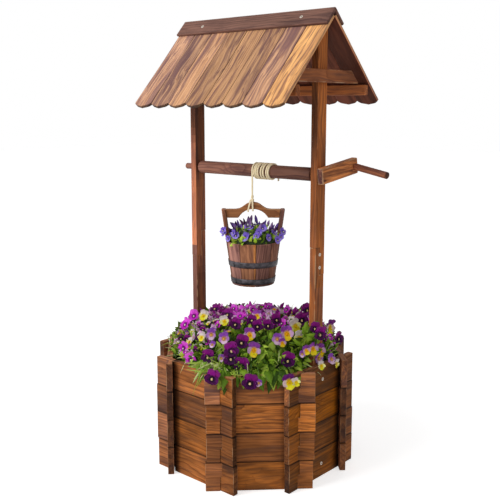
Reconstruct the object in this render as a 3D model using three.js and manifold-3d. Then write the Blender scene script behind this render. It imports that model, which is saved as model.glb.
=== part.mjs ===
// Wishing well planter: an octagonal log-cabin wall of notched boards, two jointed posts,
// a scalloped board roof, and a windlass whose rope carries a planted stave bucket.
// Millimetres, +Z up. The origin is the centre of the base on the ground.
// +X points to the crank's post and -Y to the front slope of the roof.
import * as THREE from 'three';
import Module from 'manifold-3d';
import { mergeVertices } from 'three/addons/utils/BufferGeometryUtils.js';

const wasm = await Module();
wasm.setup();

// Driving dimensions of the whole. Heights are stacked: the wall carries the planting, the
// bucket hangs clear of it, and the windlass and the ridge stand above the bucket.
const WALL_APOTHEM = 228; // from the centre to the outer face of each side of the wall
const PANSY_RISE = 109.3; // the planting's crown above the wall
const BUCKET_CLEARANCE = 70; // between that crown and the bucket
const ROPE_HANG = 79; // from the roller's axis down to the crown of the bucket's handle
const RIDGE_RISE = 385; // from the roller's axis up to the ridge
const SEAT = 0.3; // the space left where one piece rests on another
const OVERRUN = 4; // how far a cut runs past the face it opens

// Wall boards, four to a side, that cross at the corners in half-height notches
const SIDES = 8;
const COURSES = 4;
const BOARD_THICK = 15;
const BOARD_HEIGHT = 73.7;
const STUB_LENGTH = 38; // a board's end past the corner of the outer faces
const STUB_SCATTER = 2.4; // how unevenly the ends are sawn
const NOTCH_CLEAR = 1.6; // loose fit of a notch on the board that crosses it

// Posts, each in two lengths joined by a half lap
const POST_THICK = 18;
const POST_WIDTH = 35;
const LAP_LOW_HEIGHT = 521;
const LAP_HIGH_HEIGHT = 589;

// Roof boards, ridge caps, collar ties and battens. The back slope lies a little flatter.
const FRONT_PITCH = THREE.MathUtils.degToRad(48);
const BACK_PITCH = THREE.MathUtils.degToRad(45.2);
const ROOF_HALF_LENGTH = 245;
const ROOF_BOARDS = 8; // on each slope
const ROOF_BOARD_LENGTH = 286; // from the line where the slopes meet to the scallops' tips
const ROOF_THICK = 8;
const SCALLOP_DEPTH = 12;
const CAP_THICK = 7;
const CAP_WIDTH = 42;
const CAP_OVERHANG = 2; // past the ends of the slopes
const TIE_THICK = 15;
const TIE_HEIGHT = 30;
const TIE_GAP = 2.8; // between the battens' upper edges and the ties
const TIE_END_GAP = 13; // between the tie's sawn ends and the boards
const BATTEN_THICK = 15;
const BATTEN_HEIGHT = 25;
const BATTEN_HALF_LENGTH = 242;
const BATTEN_FROM_TIPS = 53.5; // across, from the board tips in to the batten's outer face

// Windlass
const ROLLER_RADIUS = 16.5;
const ROLLER_END_GAP = 6.5; // between the roller's shoulder and the post
const JOURNAL_RADIUS = 8;
const JOURNAL_CLEAR = 0.5;
const SPIGOT_LENGTH = 33; // the left journal's end outside its post
const ARM_FAR_LENGTH = 126.6;
const ARM_NEAR_LENGTH = 20;
const ARM_WIDTH = 39;
const ARM_THICK = 17;
const ARM_GAP = 3; // between the post and the arm
const ARM_CORNER_RADIUS = 4;
const ARM_TILT = THREE.MathUtils.degToRad(7.9);
const GRIP_RADIUS = 8.5;
const GRIP_LENGTH = 97;
const GRIP_DISTANCE = 111.5; // from the roller's axis along the arm
const GRIP_LEAN = THREE.MathUtils.degToRad(11);
const TENON_RADIUS = 5;
const TENON_LENGTH = 12;

// Rope
const ROPE_RADIUS = 2.4;
const ROPE_X = 10.4; // where the hanging length leaves the roller
const TURN_GAP = 0.55; // between neighbouring turns
const TAIL_LENGTH = 25;
const KNOT_HEIGHT = 8.6;
const KNOT_WIDTH = 8;
const HITCH_HEIGHT = 8.4;
const HITCH_WIDTH = 9.6;
const HITCH_LEFT = 10.5; // of its left loop beside the rope
const HITCH_RIGHT = 1.4;

// Bucket, made of staves, two of which stand up as ears for the handle board
const BUCKET_TURN = THREE.MathUtils.degToRad(41.54);
const BUCKET_OFFSET = 2.5; // the bucket's axis beside the rope, along the handle
const STAVE_THICK = 10;
const BUCKET_HEIGHT = 110;
const BUCKET_LOW_RADIUS = 54.6;
const BUCKET_RIM_RADIUS = 70;
const EAR_RISE = 83; // above the bucket's rim
const EAR_WIDTH = 36;
const BOTTOM_THICK = 8;
const BOTTOM_RAISE = 6; // the bottom board above the ends of the staves
const HANDLE_THICK = 18;
const HANDLE_DEPTH = 22; // of its straight ends
const HANDLE_CROWN_DEPTH = 17.5; // of its arch
const HANDLE_CROWN_RISE = 18; // of the arch's top above the ears
const HANDLE_ARCH_HALF = 38;
const HANDLE_SHOULDER = 46; // where the top edge begins to rise
const HOOP_HEIGHT = 15;
const HOOP_THICK = 1.2;
const LOWER_HOOP_RAISE = 5; // above the ends of the staves
const UPPER_HOOP_RAISE = 49;
const BLOOM_RISE = 46; // the bucket's planting above its rim

// Floor, soil and planting
const FLOOR_THICK = 16;
const SOIL_DEPTH = 253.7;
const PANSY_EDGE_RISE = 30; // the planting's shoulder above the wall
const PANSY_GAP = 4; // between the planting and the wall's inner faces

// Facets
const ROUND_STEPS = 32;
const ARC_STEPS = 6;
const TURN_STEPS = 24;
const TUBE_SIDES = 6;

// Colours and finishes
const finishes = {
  wall: { color: 0x8a4a33, roughness: 0.72, metalness: 0 },
  post: { color: 0x86452c, roughness: 0.66, metalness: 0 },
  roof: { color: 0xb98252, roughness: 0.66, metalness: 0 },
  cap: { color: 0x5d3a33, roughness: 0.66, metalness: 0 },
  roller: { color: 0x4c2b26, roughness: 0.6, metalness: 0 },
  crank: { color: 0x9b5a2c, roughness: 0.62, metalness: 0 },
  bucket: { color: 0x8f4b2e, roughness: 0.6, metalness: 0 },
  hoop: { color: 0x4b4b52, roughness: 0.55, metalness: 0.6 },
  rope: { color: 0xd9c09a, roughness: 0.9, metalness: 0 },
  soil: { color: 0x2b1d14, roughness: 0.95, metalness: 0 },
  pansies: { color: 0x4a6b2c, roughness: 0.85, metalness: 0 },
  violets: { color: 0x5a4a9c, roughness: 0.85, metalness: 0 },
};
const materials = Object.fromEntries(
  Object.entries(finishes).map(([name, look]) => [name, new THREE.MeshStandardMaterial(look)]),
);

// Lines worked out from the driving dimensions
const eighth = Math.PI / SIDES;
const corner = 2 * eighth;
const sideHalf = WALL_APOTHEM * Math.tan(eighth);
const wallInside = WALL_APOTHEM - BOARD_THICK;
const courseStep = BOARD_HEIGHT + SEAT;
const wallTop = COURSES * courseStep - SEAT;
const postOuter = wallInside - SEAT;
const postInner = postOuter - POST_THICK;
const postHalf = POST_WIDTH / 2;
const soilTop = FLOOR_THICK + SEAT + SOIL_DEPTH;
const pansyTop = wallTop + PANSY_RISE;
const bucketLow = pansyTop + BUCKET_CLEARANCE;
const bucketRim = bucketLow + BUCKET_HEIGHT;
const earTop = bucketRim + EAR_RISE;
const handleLow = earTop - HANDLE_DEPTH;
const crownTop = earTop + HANDLE_CROWN_RISE;
const crownUnder = crownTop - HANDLE_CROWN_DEPTH;
const axisHeight = crownTop + ROPE_HANG;
const ridgeTop = axisHeight + RIDGE_RISE;
const roofApex = ridgeTop - (CAP_THICK + SEAT) / Math.cos(FRONT_PITCH);
const rollerHalf = postInner - ROLLER_END_GAP;
const armInner = postOuter + ARM_GAP;
const armOuter = armInner + ARM_THICK;
const wrapRadius = ROLLER_RADIUS + SEAT + ROPE_RADIUS;
const turnStep = 2 * ROPE_RADIUS + TURN_GAP;

// slope is -1 at the front of the roof and 1 at its back
function pitchOf(slope) {
  return slope < 0 ? FRONT_PITCH : BACK_PITCH;
}

// The outer faces of both slopes meet at roofApex. This is the height of a plane that lies
// under a slope's outer faces by a depth, at a distance from the ridge.
function underRoof(slope, reach, depth) {
  const pitch = pitchOf(slope);
  return roofApex - depth / Math.cos(pitch) - reach * Math.tan(pitch);
}

// Shape helpers
function outline(points) {
  const corners = points.map(([x, y]) => new THREE.Vector2(x, y));
  const clockwise = THREE.ShapeUtils.isClockWise(corners);
  return new THREE.Shape(clockwise ? corners.reverse() : corners);
}

function extruded(shape, depth) {
  return new THREE.ExtrudeGeometry(shape, {
    depth,
    bevelEnabled: false,
    curveSegments: ARC_STEPS,
  });
}

// A section drawn in Y and Z, carried along X from one place to another
function alongX(shape, from, to) {
  const axes = new THREE.Matrix4().makeBasis(
    new THREE.Vector3(0, 1, 0),
    new THREE.Vector3(0, 0, 1),
    new THREE.Vector3(1, 0, 0),
  );
  return extruded(shape, to - from).applyMatrix4(axes).translate(from, 0, 0);
}

// A plan drawn in X and Y, carried up from one height to another
function upright(shape, from, to) {
  return extruded(shape, to - from).translate(0, 0, from);
}

function block(x, y, z) {
  const size = [x, y, z].map(([low, high]) => high - low);
  const middle = [x, y, z].map(([low, high]) => (low + high) / 2);
  return new THREE.BoxGeometry(...size).translate(...middle);
}

// A turned solid about Z from (radius, height) pairs
function turned(profile, steps = ROUND_STEPS) {
  const points = profile.map(([radius, height]) => new THREE.Vector2(radius, height));
  return new THREE.LatheGeometry(points, steps).rotateX(Math.PI / 2);
}

function circleHole(x, y, radius) {
  return new THREE.Path().absarc(x, y, radius, 0, 2 * Math.PI, true);
}

// Boolean helpers
function solidOf(geometry) {
  const bare = geometry.clone();
  bare.deleteAttribute('normal');
  bare.deleteAttribute('uv');
  const merged = mergeVertices(bare, SEAT / 100);
  const mesh = new wasm.Mesh({
    numProp: 3,
    vertProperties: new Float32Array(merged.attributes.position.array),
    triVerts: new Uint32Array(merged.index.array),
  });
  return new wasm.Manifold(mesh);
}

function geometryOf(solid) {
  const mesh = solid.getMesh();
  const geometry = new THREE.BufferGeometry();
  const position = new THREE.BufferAttribute(new Float32Array(mesh.vertProperties), 3);
  geometry.setAttribute('position', position);
  geometry.setIndex(new THREE.BufferAttribute(new Uint32Array(mesh.triVerts), 1));
  geometry.computeVertexNormals();
  return geometry;
}

function cutFrom(geometry, ...cutters) {
  const rest = cutters.reduce((solid, cutter) => solid.subtract(solidOf(cutter)), solidOf(geometry));
  return geometryOf(rest);
}

const well = new THREE.Group();

function addPiece(name, geometry, material, group = well) {
  const mesh = new THREE.Mesh(geometry, material);
  mesh.name = name;
  group.add(mesh);
  return mesh;
}

// Walls
// In a side's own frame +X is outward and +Y runs along the board. The board that crosses at
// the corner lies at 45 degrees, so its notch is a slanted slot through the thickness.
function notchPlan(end) {
  const crossing = BOARD_THICK / Math.sin(corner);
  const clear = NOTCH_CLEAR / Math.sin(corner);
  const edge = (depth, offset) => [WALL_APOTHEM - depth, end * (sideHalf + depth + offset)];
  const deep = BOARD_THICK + OVERRUN;
  return outline([
    edge(-OVERRUN, -crossing - clear),
    edge(-OVERRUN, clear),
    edge(deep, clear),
    edge(deep, -crossing - clear),
  ]);
}

function stubEnd(side, course, end) {
  return sideHalf + STUB_LENGTH + STUB_SCATTER * Math.sin(3 * side + 5 * course + 2 * end);
}

function wallBoard(side, course) {
  const blank = block(
    [wallInside, WALL_APOTHEM],
    [-stubEnd(side, course, -1), stubEnd(side, course, 1)],
    [0, BOARD_HEIGHT],
  );
  const middle = BOARD_HEIGHT / 2;
  const fromAbove = upright(notchPlan(1), middle - SEAT / 2, BOARD_HEIGHT + OVERRUN);
  const fromBelow = upright(notchPlan(-1), -OVERRUN, middle + SEAT / 2);
  return cutFrom(blank, fromAbove, fromBelow);
}

for (let side = 0; side < SIDES; side += 1) {
  const wallSide = new THREE.Group();
  wallSide.rotation.z = side * corner;
  well.add(wallSide);
  for (let course = 0; course < COURSES; course += 1) {
    const name = `wall_${side + 1}_board_${course + 1}`;
    const board = addPiece(name, wallBoard(side, course), materials.wall, wallSide);
    board.position.z = course * courseStep;
  }
}

// Posts
// front is -1 where the lower length keeps the lap's front half, and 1 where the upper one does
function lowerPost(front) {
  const half = SEAT / 2;
  return outline([
    [front * postHalf, 0],
    [front * postHalf, LAP_HIGH_HEIGHT - half],
    [front * half, LAP_HIGH_HEIGHT - half],
    [front * half, LAP_LOW_HEIGHT - half],
    [-front * postHalf, LAP_LOW_HEIGHT - half],
    [-front * postHalf, 0],
  ]);
}

function upperPost(front) {
  const half = SEAT / 2;
  const topAt = (slope, reach) => underRoof(slope, reach, ROOF_THICK + SEAT);
  const shape = outline([
    [-front * half, LAP_LOW_HEIGHT + half],
    [-front * postHalf, LAP_LOW_HEIGHT + half],
    [-front * postHalf, topAt(-front, postHalf)],
    [0, topAt(-1, 0)],
    [front * postHalf, topAt(front, postHalf)],
    [front * postHalf, LAP_HIGH_HEIGHT + half],
    [-front * half, LAP_HIGH_HEIGHT + half],
  ]);
  shape.holes.push(circleHole(0, axisHeight, JOURNAL_RADIUS + JOURNAL_CLEAR));
  return shape;
}

addPiece('lower_post_right', alongX(lowerPost(-1), postInner, postOuter), materials.post);
addPiece('upper_post_right', alongX(upperPost(-1), postInner, postOuter), materials.post);
addPiece('lower_post_left', alongX(lowerPost(1), -postOuter, -postInner), materials.post);
addPiece('upper_post_left', alongX(upperPost(1), -postOuter, -postInner), materials.post);

// Roof slopes
// Each slope is drawn flat, X along the ridge and Y down the slope, with a scallop on the tip
// of every board, then leaned on the ridge line.
function slopePlan(slope) {
  const pitch = pitchOf(slope);
  const top = ROOF_THICK * Math.tan(pitch) + SEAT / 2 / Math.cos(pitch);
  const width = (2 * ROOF_HALF_LENGTH) / ROOF_BOARDS;
  const radius = (width * width / 4 + SCALLOP_DEPTH * SCALLOP_DEPTH) / (2 * SCALLOP_DEPTH);
  const spread = Math.asin(width / 2 / radius);
  const centre = ROOF_BOARD_LENGTH - radius;
  const shape = new THREE.Shape();
  shape.moveTo(-ROOF_HALF_LENGTH, top);
  for (let board = 0; board < ROOF_BOARDS; board += 1) {
    const start = -ROOF_HALF_LENGTH + board * width;
    shape.lineTo(start, ROOF_BOARD_LENGTH - SCALLOP_DEPTH);
    shape.absarc(
      start + width / 2, centre, radius, Math.PI / 2 + spread, Math.PI / 2 - spread, true,
    );
  }
  shape.lineTo(ROOF_HALF_LENGTH, top);
  return shape;
}

function leaned(geometry, slope) {
  const pitch = pitchOf(slope);
  const across = new THREE.Vector3(-slope, 0, 0);
  const down = new THREE.Vector3(0, slope * Math.cos(pitch), -Math.sin(pitch));
  const inward = new THREE.Vector3().crossVectors(across, down);
  const axes = new THREE.Matrix4().makeBasis(across, down, inward);
  return geometry.applyMatrix4(axes).translate(0, 0, roofApex);
}

// Ridge caps: one board along each side of the ridge, mitred where they meet
function capSection(slope) {
  const pitch = pitchOf(slope);
  const inner = (reach) => underRoof(slope, reach, -SEAT);
  const outer = (reach) => underRoof(slope, reach, -SEAT - CAP_THICK);
  const across = CAP_THICK * Math.sin(pitch);
  const reach = CAP_WIDTH * Math.cos(pitch);
  const half = SEAT / 2;
  return outline([
    [slope * half, inner(half)],
    [slope * reach, inner(reach)],
    [slope * (reach + across), outer(reach + across)],
    [slope * half, outer(half)],
  ]);
}

// A batten stands on edge under each slope, its outer upper corner against the boards
function battenReach(slope) {
  return ROOF_BOARD_LENGTH * Math.cos(pitchOf(slope)) - BATTEN_FROM_TIPS;
}

function battenTop(slope) {
  return underRoof(slope, battenReach(slope), ROOF_THICK + SEAT);
}

function battenSection(slope) {
  const outer = battenReach(slope);
  const inner = outer - BATTEN_THICK;
  const top = battenTop(slope);
  return outline([
    [slope * inner, top - BATTEN_HEIGHT],
    [slope * outer, top - BATTEN_HEIGHT],
    [slope * outer, top],
    [slope * inner, top],
  ]);
}

const capHalfLength = ROOF_HALF_LENGTH + CAP_OVERHANG;
for (const [name, slope] of [['front', -1], ['back', 1]]) {
  const boards = leaned(extruded(slopePlan(slope), ROOF_THICK), slope);
  addPiece(`roof_slope_${name}`, boards, materials.roof);

  const batten = alongX(battenSection(slope), -BATTEN_HALF_LENGTH, BATTEN_HALF_LENGTH);
  addPiece(`roof_batten_${name}`, batten, materials.post);

  const cap = alongX(capSection(slope), -capHalfLength, capHalfLength);
  addPiece(`ridge_cap_${name}`, cap, materials.cap);
}

// Collar ties on the outer faces of the posts, just over the battens, their ends sawn to the
// pitch of each slope
function tieSection() {
  const low = Math.max(battenTop(-1), battenTop(1)) + TIE_GAP;
  const high = low + TIE_HEIGHT;
  const depth = ROOF_THICK + TIE_END_GAP;
  const reachAt = (slope, height) => {
    const pitch = pitchOf(slope);
    return slope * (roofApex - depth / Math.cos(pitch) - height) / Math.tan(pitch);
  };
  return outline([
    [reachAt(-1, low), low],
    [reachAt(1, low), low],
    [reachAt(1, high), high],
    [reachAt(-1, high), high],
  ]);
}

const tieNear = postOuter + SEAT;
const tieFar = tieNear + TIE_THICK;
addPiece('roof_tie_left', alongX(tieSection(), -tieFar, -tieNear), materials.crank);
addPiece('roof_tie_right', alongX(tieSection(), tieNear, tieFar), materials.crank);

// Windlass: the roller and its journals are one turning, the arm is on its right journal
const windlass = new THREE.Group();
windlass.position.z = axisHeight;
well.add(windlass);

const rollerProfile = [
  [0, -postOuter - SPIGOT_LENGTH],
  [JOURNAL_RADIUS, -postOuter - SPIGOT_LENGTH],
  [JOURNAL_RADIUS, -rollerHalf],
  [ROLLER_RADIUS, -rollerHalf],
  [ROLLER_RADIUS, rollerHalf],
  [JOURNAL_RADIUS, rollerHalf],
  [JOURNAL_RADIUS, armOuter],
  [0, armOuter],
];
addPiece('windlass_roller', turned(rollerProfile).rotateY(Math.PI / 2), materials.roller, windlass);

const arm = new THREE.Group();
arm.rotation.x = ARM_TILT;
windlass.add(arm);

// The grip's own frame has +Z along the dowel from the arm's outer face
const gripFrame = new THREE.Matrix4()
  .makeRotationY(Math.PI / 2 + GRIP_LEAN)
  .setPosition(armOuter, GRIP_DISTANCE, 0);

function armOutline() {
  const high = ARM_WIDTH / 2;
  const left = -ARM_NEAR_LENGTH;
  const right = ARM_FAR_LENGTH;
  const round = ARM_CORNER_RADIUS;
  const quarter = Math.PI / 2;
  const shape = new THREE.Shape();
  shape.moveTo(left + round, -high);
  shape.lineTo(right - round, -high);
  shape.absarc(right - round, round - high, round, -quarter, 0, false);
  shape.lineTo(right, high - round);
  shape.absarc(right - round, high - round, round, 0, quarter, false);
  shape.lineTo(left + round, high);
  shape.absarc(left + round, high - round, round, quarter, 2 * quarter, false);
  shape.lineTo(left, round - high);
  shape.absarc(left + round, round - high, round, 2 * quarter, 3 * quarter, false);
  shape.holes.push(circleHole(0, 0, JOURNAL_RADIUS + SEAT));
  return shape;
}

const tenonHole = turned([
  [0, -TENON_LENGTH - SEAT],
  [TENON_RADIUS + SEAT, -TENON_LENGTH - SEAT],
  [TENON_RADIUS + SEAT, OVERRUN],
  [0, OVERRUN],
]).applyMatrix4(gripFrame);
addPiece('crank_arm', cutFrom(alongX(armOutline(), armInner, armOuter), tenonHole), materials.crank, arm);

const gripStart = GRIP_RADIUS * Math.tan(GRIP_LEAN) + SEAT;
const gripProfile = [
  [0, -TENON_LENGTH],
  [TENON_RADIUS, -TENON_LENGTH],
  [TENON_RADIUS, gripStart],
  [GRIP_RADIUS, gripStart],
  [GRIP_RADIUS, GRIP_LENGTH],
  [0, GRIP_LENGTH],
];
addPiece('crank_grip', turned(gripProfile).applyMatrix4(gripFrame), materials.crank, arm);

// Rope winding
// The rope climbs the front of the roller from the hanging length, and its turns advance to the
// right by shares of one turn's step, taken half a turn at a time. The first loop leans left.
const halfTurnShares = [
  -0.7, 1.85, 0.5, 0.5, 0.55, 0.6, 0.6, 1.3, 0.7, 0.7, 0.7, 1.3, 0.55, 0.55, 0.5,
];

function windingCentres() {
  const halfSteps = TURN_STEPS / 2;
  const straight = 2 * ROPE_RADIUS;
  const centres = [new THREE.Vector3(ROPE_X, -wrapRadius, -straight)];
  let start = ROPE_X;
  halfTurnShares.forEach((share, halfTurn) => {
    const advance = share * turnStep;
    for (let step = 0; step < halfSteps; step += 1) {
      const part = step / halfSteps;
      const angle = Math.PI * (halfTurn + part);
      centres.push(
        new THREE.Vector3(
          start + advance * part,
          -wrapRadius * Math.cos(angle),
          wrapRadius * Math.sin(angle),
        ),
      );
    }
    start += advance;
  });
  centres.push(new THREE.Vector3(start, wrapRadius, 0));
  centres.push(new THREE.Vector3(start, wrapRadius, -TAIL_LENGTH));
  return centres;
}

// One closed tube through the centres, its sections kept square to the roller's surface
function tubeThrough(centres, outwardAt) {
  const positions = [];
  const index = [];
  const last = centres.length - 1;
  centres.forEach((centre, i) => {
    const before = centres[Math.max(i - 1, 0)];
    const after = centres[Math.min(i + 1, last)];
    const along = after.clone().sub(before).normalize();
    const outward = outwardAt(centre);
    outward.addScaledVector(along, -outward.dot(along)).normalize();
    const sideways = new THREE.Vector3().crossVectors(along, outward);
    for (let side = 0; side < TUBE_SIDES; side += 1) {
      const turn = (2 * Math.PI * side) / TUBE_SIDES;
      const point = centre
        .clone()
        .addScaledVector(outward, ROPE_RADIUS * Math.cos(turn))
        .addScaledVector(sideways, ROPE_RADIUS * Math.sin(turn));
      positions.push(point.x, point.y, point.z);
    }
  });
  for (let i = 0; i < last; i += 1) {
    for (let side = 0; side < TUBE_SIDES; side += 1) {
      const next = (side + 1) % TUBE_SIDES;
      const a = i * TUBE_SIDES + side;
      const b = i * TUBE_SIDES + next;
      const c = a + TUBE_SIDES;
      const d = b + TUBE_SIDES;
      index.push(a, b, c, b, d, c);
    }
  }
  for (let side = 1; side < TUBE_SIDES - 1; side += 1) {
    const end = last * TUBE_SIDES;
    index.push(0, side + 1, side);
    index.push(end, end + side, end + side + 1);
  }
  const geometry = new THREE.BufferGeometry();
  geometry.setAttribute('position', new THREE.Float32BufferAttribute(positions, 3));
  geometry.setIndex(index);
  geometry.computeVertexNormals();
  return geometry;
}

// Least space between parts of the winding that lie half a turn or more apart along it
function leastSelfGap(centres) {
  let least = Infinity;
  for (let i = 0; i < centres.length; i += 1) {
    for (let j = i + TURN_STEPS / 2; j < centres.length; j += 1) {
      least = Math.min(least, centres[i].distanceTo(centres[j]));
    }
  }
  return least - 2 * ROPE_RADIUS;
}

const centres = windingCentres();
const fromRoller = (point) => new THREE.Vector3(0, point.y, point.z);
console.log(`least gap of the rope winding to itself: ${leastSelfGap(centres).toFixed(2)} mm`);
addPiece('rope_winding', tubeThrough(centres, fromRoller), materials.rope, windlass);

// Hanging rope, its knot and the hitch round the handle, on the bucket's own line
const line = new THREE.Group();
line.position.set(ROPE_X, -wrapRadius, 0);
line.rotation.z = BUCKET_TURN;
well.add(line);

const hitchLow = crownTop + SEAT;
const hitchTop = hitchLow + HITCH_HEIGHT;
const knotLow = hitchTop + SEAT;
const knotTop = knotLow + KNOT_HEIGHT;
const dropTop = axisHeight - 2 * ROPE_RADIUS - SEAT;
const dropLow = knotTop + SEAT;
const dropProfile = [
  [0, dropLow],
  [ROPE_RADIUS, dropLow],
  [ROPE_RADIUS, dropTop],
  [0, dropTop],
];
addPiece('rope_drop', turned(dropProfile, 2 * TUBE_SIDES), materials.rope, line);

function ball(wide, low, tall) {
  const sphere = new THREE.SphereGeometry(tall / 2, 2 * TUBE_SIDES, TUBE_SIDES + 2);
  return sphere.scale(wide / tall, wide / tall, 1).translate(0, 0, low + tall / 2);
}

addPiece('rope_knot', ball(KNOT_WIDTH, knotLow, KNOT_HEIGHT), materials.rope, line);

// Height of the arch's underside at a distance from the handle's middle
const archRise = crownUnder - handleLow;
const archRadius = (HANDLE_ARCH_HALF * HANDLE_ARCH_HALF + archRise * archRise) / (2 * archRise);

function archUnderAt(aside) {
  return crownUnder - archRadius + Math.sqrt(archRadius * archRadius - aside * aside);
}

// Two loops of the hitch leave its ball, pass down the handle's faces and meet under it.
// Each place is (beside the rope, across the handle, height).
const bendShare = 0.9;

function hitchLoop(beside) {
  const clear = ROPE_RADIUS + 2 * SEAT;
  const across = HANDLE_THICK / 2 + clear;
  const under = archUnderAt(Math.abs(beside) + BUCKET_OFFSET + ROPE_RADIUS) - clear;
  const over = crownTop + clear;
  const halfLoop = [
    [beside / 4, HITCH_WIDTH / 4, hitchLow + HITCH_HEIGHT / 2],
    [beside / 2, across * bendShare, over],
    [beside, across, over - clear - ROPE_RADIUS],
    [beside, across, under + clear + ROPE_RADIUS],
    [beside, across * bendShare, under],
  ];
  const back = halfLoop.map(([a, b, c]) => new THREE.Vector3(a, b, c));
  const front = halfLoop.map(([a, b, c]) => new THREE.Vector3(a, -b, c)).reverse();
  const curve = new THREE.CatmullRomCurve3([...back, ...front]);
  const section = new THREE.Shape().absarc(0, 0, ROPE_RADIUS, 0, 2 * Math.PI, false);
  return new THREE.ExtrudeGeometry(section, {
    extrudePath: curve,
    steps: TURN_STEPS,
    curveSegments: TUBE_SIDES / 2,
  });
}

const hitch = solidOf(ball(HITCH_WIDTH, hitchLow, HITCH_HEIGHT))
  .add(solidOf(hitchLoop(-HITCH_LEFT)))
  .add(solidOf(hitchLoop(HITCH_RIGHT)));
addPiece('rope_hitch', geometryOf(hitch), materials.rope, line);

// Bucket
// The staves lie on one cone. Its outer radius at a height, drawn in by a depth:
function coneRadius(height, depth = 0) {
  const grow = (BUCKET_RIM_RADIUS - BUCKET_LOW_RADIUS) / BUCKET_HEIGHT;
  return BUCKET_LOW_RADIUS + grow * (height - bucketLow) - depth;
}

function coneRing(low, high, outer, inner) {
  return turned([
    [coneRadius(low, inner), low],
    [coneRadius(low, outer), low],
    [coneRadius(high, outer), high],
    [coneRadius(high, inner), high],
    [coneRadius(low, inner), low],
  ]);
}

function conePlug(low, high, depth) {
  return turned([
    [0, low],
    [coneRadius(low, depth), low],
    [coneRadius(high, depth), high],
    [0, high],
  ]);
}

const bucket = new THREE.Group();
bucket.position.x = BUCKET_OFFSET;
line.add(bucket);

const earReach = coneRadius(earTop) + OVERRUN;
const earStrip = block([-earReach, earReach], [-EAR_WIDTH / 2, EAR_WIDTH / 2], [bucketLow, earTop]);
const ears = solidOf(coneRing(bucketLow, earTop, 0, STAVE_THICK)).intersect(solidOf(earStrip));
const staves = solidOf(coneRing(bucketLow, bucketRim, 0, STAVE_THICK)).add(ears);
addPiece('bucket_staves', geometryOf(staves), materials.bucket, bucket);

const bottomLow = bucketLow + BOTTOM_RAISE;
const bottomTop = bottomLow + BOTTOM_THICK;
const inside = STAVE_THICK + SEAT;
addPiece('bucket_bottom', conePlug(bottomLow, bottomTop, inside), materials.bucket, bucket);

function handleOutline() {
  const reach = earReach;
  const spread = Math.asin(HANDLE_ARCH_HALF / archRadius);
  const shape = new THREE.Shape();
  shape.moveTo(-reach, handleLow);
  shape.lineTo(-HANDLE_ARCH_HALF, handleLow);
  const from = Math.PI / 2 + spread;
  shape.absarc(0, crownUnder - archRadius, archRadius, from, Math.PI / 2 - spread, true);
  shape.lineTo(reach, handleLow);
  shape.lineTo(reach, earTop);
  shape.lineTo(HANDLE_SHOULDER, earTop);
  shape.bezierCurveTo(
    HANDLE_SHOULDER / 2, earTop,
    HANDLE_SHOULDER / 2, crownTop,
    0, crownTop,
  );
  shape.bezierCurveTo(
    -HANDLE_SHOULDER / 2, crownTop,
    -HANDLE_SHOULDER / 2, earTop,
    -HANDLE_SHOULDER, earTop,
  );
  shape.lineTo(-reach, earTop);
  return shape;
}

const handleBlank = extruded(handleOutline(), HANDLE_THICK)
  .translate(0, 0, -HANDLE_THICK / 2)
  .rotateX(Math.PI / 2);
const betweenEars = conePlug(handleLow - OVERRUN, crownTop + OVERRUN, inside);
const handle = solidOf(handleBlank).intersect(solidOf(betweenEars));
addPiece('bucket_handle', geometryOf(handle), materials.bucket, bucket);

for (const [name, raise] of [['lower', LOWER_HOOP_RAISE], ['upper', UPPER_HOOP_RAISE]]) {
  const low = bucketLow + raise;
  const hoop = coneRing(low, low + HOOP_HEIGHT, -SEAT - HOOP_THICK, -SEAT);
  addPiece(`bucket_hoop_${name}`, hoop, materials.hoop, bucket);
}

// The planting that fills the bucket and domes over its rim
const domeShares = [[1, 0], [0.98, 0.3], [0.86, 0.62], [0.62, 0.86], [0.32, 0.97], [0, 1]];

function domeProfile(radius, low, rise) {
  return domeShares.map(([out, up]) => [out * radius, low + up * rise]);
}

const fillLow = bottomTop + SEAT;
const fillProfile = [
  [0, fillLow],
  [coneRadius(fillLow, inside), fillLow],
  ...domeProfile(coneRadius(bucketRim, inside), bucketRim, BLOOM_RISE),
];
const earGuard = EAR_WIDTH / 2 + SEAT;
const earLow = coneRadius(bucketRim, inside + SEAT);
const fill = cutFrom(
  turned(fillProfile),
  block([earLow, earReach], [-earGuard, earGuard], [bucketRim - OVERRUN, earTop]),
  block([-earReach, -earLow], [-earGuard, earGuard], [bucketRim - OVERRUN, earTop]),
);
addPiece('bucket_flowers', fill, materials.violets, bucket);

// Floor panel, soil and pansies inside the wall, cut clear of the posts
function octagon(apothem) {
  const radius = apothem / Math.cos(eighth);
  const points = Array.from({ length: SIDES }, (_, i) => {
    const turn = eighth + i * corner;
    return [radius * Math.cos(turn), radius * Math.sin(turn)];
  });
  return outline(points);
}

function postSlots(clear, low, high) {
  const wide = postHalf + clear;
  return [
    block([postInner - clear, wallInside + OVERRUN], [-wide, wide], [low, high]),
    block([-wallInside - OVERRUN, -postInner + clear], [-wide, wide], [low, high]),
  ];
}

const panel = upright(octagon(wallInside - SEAT), 0, FLOOR_THICK);
const panelSlots = postSlots(SEAT, -OVERRUN, FLOOR_THICK + OVERRUN);
addPiece('floor_panel', cutFrom(panel, ...panelSlots), materials.wall);

const soil = upright(octagon(wallInside - SEAT), FLOOR_THICK + SEAT, soilTop);
const soilSlots = postSlots(SEAT, 0, soilTop + OVERRUN);
addPiece('planter_soil', cutFrom(soil, ...soilSlots), materials.soil);

const moundLow = soilTop + SEAT;
const moundRadius = wallInside - PANSY_GAP;
const shoulder = wallTop + PANSY_EDGE_RISE;
const moundProfile = [
  [0, moundLow],
  [moundRadius, moundLow],
  ...domeProfile(moundRadius, shoulder, pansyTop - shoulder),
];
const moundSlots = postSlots(2 * SEAT, soilTop - OVERRUN, pansyTop);
addPiece('planter_pansies', cutFrom(turned(moundProfile), ...moundSlots), materials.pansies);

export default well;
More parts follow.
